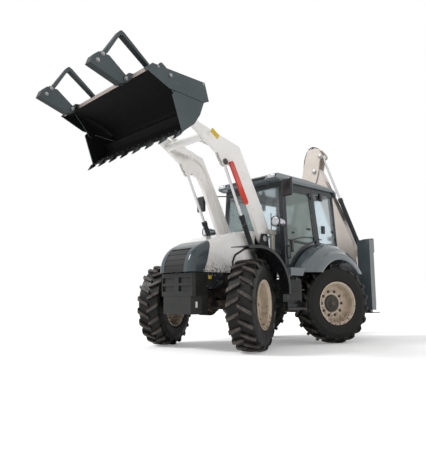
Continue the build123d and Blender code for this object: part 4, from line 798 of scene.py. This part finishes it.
# The pipes and clips are flat against the arm, which passes close to the nose as it comes down.
PIPE_Y, PIPE_PITCH = 0.4295, 0.03
PIPE_LINE = ((-0.20, 2.05), (0.0, 2.50), (0.28, 3.16), (0.45, 3.27), (0.78, 3.38), (1.06, 3.48))
CLIPS = ((-0.10, 2.26), (0.06, 2.62), (0.20, 2.95), (0.60, 3.305), (0.90, 3.41))
lines = []
for drop in (0.0, PIPE_PITCH):
    lines.append(pipe([(x, PIPE_Y, z - drop) for x, z in PIPE_LINE], 0.006))
for x, z in CLIPS:
    lines.append(slab((x - 0.02, PIPE_Y - 0.007, z - 0.045), (x + 0.02, PIPE_Y + 0.0075, z + 0.03), 0.003))
lines += [mirrored(line) for line in lines]
hand_over("arm_pipes", lines, white_paint, "arms")
mark = slab((-0.095, 0.5045, -0.045), (0.095, 0.5062, 0.045), 0.0006)
mark.data.transform(Matrix.Translation((0.90, 0, 3.465)) @ Matrix.Rotation(math.radians(-32), 4, "Y"))
hand_over("blank_arm_mark_left", [mark], yellow_vinyl, "arms")
hand_over("blank_arm_mark_right", [mirrored(mark)], yellow_vinyl, "arms")


# ---- Tower stays -----------------------------------------------------------------------------------
# A stay of cream-painted box section braces each loader tower against the cab's front corner: an upright
# with a bracket welded across its head.
STAY_IN, STAY_OUT = 0.548, 0.605
bracket = slab((-0.475, STAY_IN, 1.895), (-0.30, STAY_OUT, 1.985), 0.012)
upright = slab((-0.43, STAY_IN, 1.62), (-0.345, STAY_OUT, 1.895), 0.012)
cream = enamel("cream_paint", (0.42, 0.4, 0.34, 1), (0.36, 0.34, 0.29, 1),
               rough=0.4, coat=0.2, mud=0.2, mud_height=1.5)
stays = [bracket, upright, mirrored(bracket), mirrored(upright)]
hand_over("tower_stays", stays, cream, "machine")


# ---- Clam bucket and forks -------------------------------------------------------------------------
# The bucket is rolled plate, painted near-black inside and on the forks' webs as painted shade, with a lip
# worn bare between the forks. Zinc-plated bolts hold the clam, and the forks hang in hollow arms on two bolts
# each.
BUCKET_TOE, BUCKET_PITCH = Vector((2.15, 0, 3.05)), math.radians(43.8)
LEVEL = Matrix.Translation(BUCKET_TOE) @ Matrix.Rotation(BUCKET_PITCH, 4, "Y")
HOLLOW, HOLLOW_RADIUS = LEVEL @ Vector((-0.33, 0, 0.40)), 0.63
SIDE_FACE = 1.189
TOOL_GREY, TOOL_DARK = (0.075, 0.094, 0.1, 1), (0.062, 0.08, 0.085, 1)


def bucket_paint(name):
    """Tool paint with painted shade, near-black mottled with dark brown, on faces that look into the bucket.
    """
    material = enamel(name, TOOL_GREY, TOOL_DARK, rough=0.4, coat=0, mud=0.15, mud_height=0.6, worn=0.25,
                      gleam=0.25)
    tree = material.node_tree
    place = object_place(tree)
    toward = joined(tree, "VectorMath", operation="SUBTRACT", i0=HOLLOW, i1=place).outputs[0]
    reach = joined(tree, "VectorMath", operation="MULTIPLY", i0=toward, i1=(1.0, 0.0, 1.0)).outputs[0]
    distance = joined(tree, "VectorMath", operation="LENGTH", i0=reach).outputs["Value"]
    near = step(tree, distance, HOLLOW_RADIUS + 0.01, HOLLOW_RADIUS - 0.01)
    facing = joined(tree, "TexCoord").outputs["Normal"]
    look = joined(tree, "VectorMath", operation="DOT_PRODUCT", i0=facing, i1=toward).outputs["Value"]
    side = maths(tree, "ABSOLUTE", joined(tree, "SeparateXYZ", Vector=place).outputs["Y"])
    within = maths(tree, "LESS_THAN", side, SIDE_FACE)
    inside = maths(tree, "MULTIPLY", maths(tree, "MULTIPLY", near, within), step(tree, look, 0.0, 0.02))
    # Painted shade: faces inside the bucket's hollow are darkened to near-black, mottled with dark brown.
    shade_mottle = noise(tree, place, 7.0, 8.0, 0.65)
    inner_shade = mixed(tree, step(tree, shade_mottle, 0.5, 0.75), (0.0015, 0.0015, 0.0016, 1), (0.009, 0.0075, 0.0055, 1))
    return overlaid(material, inside, inner_shade, 0.75)


dress(bucket_paint("bucket_paint"), "mouldboard", "clam")
fork_paint = enamel("fork_paint", TOOL_GREY, TOOL_DARK, rough=0.4, coat=0, mud=0.15, mud_height=0.6, worn=0.3,
                    gleam=0.25)
tree = fork_paint.node_tree
# Painted shade: faces that do not look sideways, the forks' webs and undersides, are darkened to near-black.
facing = joined(tree, "SeparateXYZ", Vector=joined(tree, "TexCoord").outputs["Normal"]).outputs["Y"]
shaded_faces = step(tree, maths(tree, "ABSOLUTE", facing), 0.6, 0.4)
overlaid(fork_paint, maths(tree, "MULTIPLY", shaded_faces, 0.75), (0.006, 0.006, 0.006, 1), 0.7)
dress(fork_paint, "fork_brackets", "fork_tines")


def at_bucket(u, w, y):
    """Place of a point in the bucket's level axes: u forward from the toe, w up."""
    return LEVEL @ Vector((u, y, w))


bare_steel = metal("worn_steel", (0.55, 0.48, 0.43, 1), 0.45)
strip = slab((-0.0868, -1.12, 0.906), (-0.0835, 1.12, 0.9445), 0.001)
strip.data.transform(LEVEL)
hand_over("lip_wear_strip", [strip], bare_steel, "bucket_rear")
BOLT = [(0.030, 0.0), (0.030, 0.005), (0.023, 0.006), (0.023, 0.020), (0.018, 0.023)]
LITTLE_BOLT = [(0.018, 0.0), (0.018, 0.004), (0.014, 0.005), (0.014, 0.013), (0.011, 0.015)]
LEFT = Vector((0, 1, 0))
FORK_Y, LUG_HALF, ARM_HALF = 0.742, 0.084, 0.066
bolts = [lathe(BOLT, at_bucket(-0.346, 0.678, 1.199), LEFT, 24),
         lathe(LITTLE_BOLT, at_bucket(-0.81, 0.30, 1.195), LEFT, 12),
         lathe(LITTLE_BOLT, at_bucket(-0.245, 0.86, 1.195), LEFT, 12)]
for out in (1, -1):
    bolts.append(lathe(BOLT, at_bucket(0.02, 0.95, FORK_Y + out * LUG_HALF), out * LEFT, 24))
bolts += [mirrored(bolt) for bolt in bolts]
hand_over("bucket_bolts", bolts, zinc, "bucket_rear")
bolts = []
for u, w in ((0.108, 1.369), (0.235, 1.339)):
    for out in (1, -1):
        bolts.append(lathe(BOLT, at_bucket(u, w, FORK_Y + out * ARM_HALF), out * LEFT, 24))
bolts += [mirrored(bolt) for bolt in bolts]
hand_over("fork_arm_bolts", bolts, zinc, "fork_arms")
EDGE_BOLTS, EDGE_HALF = 16, 1.12
upright = LEVEL.to_3x3() @ Vector((0, 0, 1))
edge_bolts = []
for i in range(EDGE_BOLTS):
    y = EDGE_HALF * (2 * i / (EDGE_BOLTS - 1) - 1)
    edge_bolts.append(lathe(LITTLE_BOLT, at_bucket(-0.10, 0.006, y), upright, 10))
hand_over("cutting_edge_bolts", edge_bolts, dark_pins, "bucket_clam")


# ---- Backhoe ---------------------------------------------------------------------------------------
# The boom and dipper are welded boxes in a warm white. Oiled steel pipes run up the boom, black ones
# round the dipper's head, and the pins have zinc-plated heads. The digging bucket is dark and scratched.
hoe_white = enamel("hoe_white", (0.7, 0.63, 0.57, 1), (0.62, 0.55, 0.49, 1),
                   rough=0.32, coat=0.5, mud=0.2, mud_height=1.5)
dress(hoe_white, "boom", "dipper")
digger_paint = enamel("digger_paint", (0.028, 0.03, 0.032, 1), (0.02, 0.022, 0.024, 1),
                      rough=0.42, coat=0.2, mud=0.5, mud_height=1.4, worn=0.5)
dress(digger_paint, "hoe_bucket")
SLEW = Vector((-3.08, 0.68, 0))


def at_hoe(reach, z, x):
    """Place of a point in the backhoe's side view: reach from the slewing post, height and side."""
    return SLEW + Vector((x, -reach, z))


def hoe_pins(name, points, body_name):
    """Pin heads on both sides of one of the backhoe's pieces."""
    found = []
    for reach, z, half in points:
        found.append(lathe(PIN_HEAD, at_hoe(reach, z, half), (1, 0, 0), 20))
        found.append(lathe(PIN_HEAD, at_hoe(reach, z, -half), (-1, 0, 0), 20))
    return hand_over(name, found, zinc, body_name)


hoe_pins("post_pin_heads", ((0.23, 1.0, 0.124), (0.37, 0.70, 0.124)), "slew_post")
hoe_pins("boom_pin_heads", ((-0.02, 1.75, 0.08), (0.70, 2.08, 0.073)), "hoe_boom")
hoe_pins("dipper_pin_heads", ((1.01, 3.62, 0.119), (0.84, 3.95, 0.113)), "hoe_dipper")
BOOM_LINE = ((0.16, 1.98), (0.30, 2.30), (0.425, 2.66), (0.60, 3.02), (0.76, 3.36))
DIPPER_LINE = ((0.93, 4.14), (1.05, 4.25), (1.22, 4.20), (1.33, 3.98), (1.36, 3.72), (1.40, 3.50))
lines = []
for side in (-0.05, 0.0, 0.05):
    lines.append(pipe([at_hoe(reach, z, side) for reach, z in BOOM_LINE], 0.010))
hand_over("boom_pipes", lines, dark_pins, "hoe_boom")
lines = []
for side in (-0.03, 0.03):
    lines.append(pipe([at_hoe(reach, z, side) for reach, z in DIPPER_LINE], 0.012))
hand_over("dipper_pipes", lines, black_moulding, "hoe_dipper")


# ---- Stabilisers -----------------------------------------------------------------------------------
# The legs slide in box housings on the rear frame. A tail lamp and a turn lamp of moulded plastic sit on
# the back of the guard folded round each housing.
red_lens = sticker("red_lens", (0.45, 0.01, 0.008, 1))
amber_lens = sticker("amber_lens", (0.75, 0.26, 0.01, 1))
GUARD_BACK = -2.838
for name, foot, head, lens in (("tail_lamps", 1.74, 1.83, red_lens), ("turn_lamps", 1.84, 1.91, amber_lens)):
    lamp = slab((GUARD_BACK - 0.012, 0.94, foot), (GUARD_BACK + 0.01, 1.10, head), 0.008, 3)
    hand_over(name, [lamp, mirrored(lamp)], lens, "machine")


# ---- Floor, light and camera -----------------------------------------------------------------------
# A white studio floor that keeps the machine's shadow, a soft white surround and one broad key light
# from above. The camera stands low, ahead of the machine and to its left.
bpy.ops.mesh.primitive_plane_add(size=80, location=(0, 0, -0.002))
floor = bpy.context.object
floor.name = "studio_floor"
white = bpy.data.materials.new("studio_white")
white.use_nodes = True
tree = white.node_tree
shader = tree.nodes["Principled BSDF"]
shader.inputs["Base Color"].default_value = (0.85, 0.85, 0.85, 1)
shader.inputs["Roughness"].default_value = 0.9
shader.inputs["Emission Color"].default_value = (1, 1, 1, 1)
lift = maths(tree, "MULTIPLY", joined(tree, "LightPath").outputs["Is Camera Ray"], 0.22)
tree.links.new(lift, shader.inputs["Emission Strength"])
floor.data.materials.append(white)

SKY_LIGHT, SKY_WHITE = 0.75, 1.0
world = bpy.data.worlds.new("studio")
bpy.context.scene.world = world
world.use_nodes = True
tree = world.node_tree
back = tree.nodes["Background"]
ray = joined(tree, "LightPath")
seen = maths(tree, "MAXIMUM", ray.outputs["Is Camera Ray"], ray.outputs["Is Glossy Ray"])
seen = maths(tree, "MAXIMUM", seen, ray.outputs["Is Transmission Ray"])
strength = joined(tree, "Mix", data_type="FLOAT", i0=seen, i2=SKY_LIGHT, i3=SKY_WHITE)
tree.links.new(strength.outputs[0], back.inputs["Strength"])
back.inputs["Color"].default_value = (1, 1, 1, 1)

sun = bpy.data.objects.new("key", bpy.data.lights.new("key", "SUN"))
sun.data.energy = 2.1
sun.data.angle = math.radians(18)
sun.rotation_euler = (math.radians(38), math.radians(28), math.radians(20))
bpy.context.scene.collection.objects.link(sun)

camera = bpy.data.objects.new("camera", bpy.data.cameras.new("camera"))
bpy.context.scene.collection.objects.link(camera)
yaw, pitch, roll = math.radians(227.038), math.radians(8.083), math.radians(-0.42)
ahead = Vector((math.cos(yaw) * math.cos(pitch), math.sin(yaw) * math.cos(pitch), math.sin(pitch)))
level = Vector((math.sin(yaw), -math.cos(yaw), 0))
over = level.cross(ahead)
right = math.cos(roll) * level + math.sin(roll) * over
turn = Matrix((right, right.cross(ahead), -ahead)).transposed()
camera.matrix_world = Matrix.Translation((6.388, 6.336, 0.804)) @ turn.to_4x4()
camera.data.lens = 40.55
camera.data.sensor_width = 36
camera.data.clip_end = 200
bpy.context.scene.camera = camera
bpy.context.scene.view_settings.view_transform = "Standard"
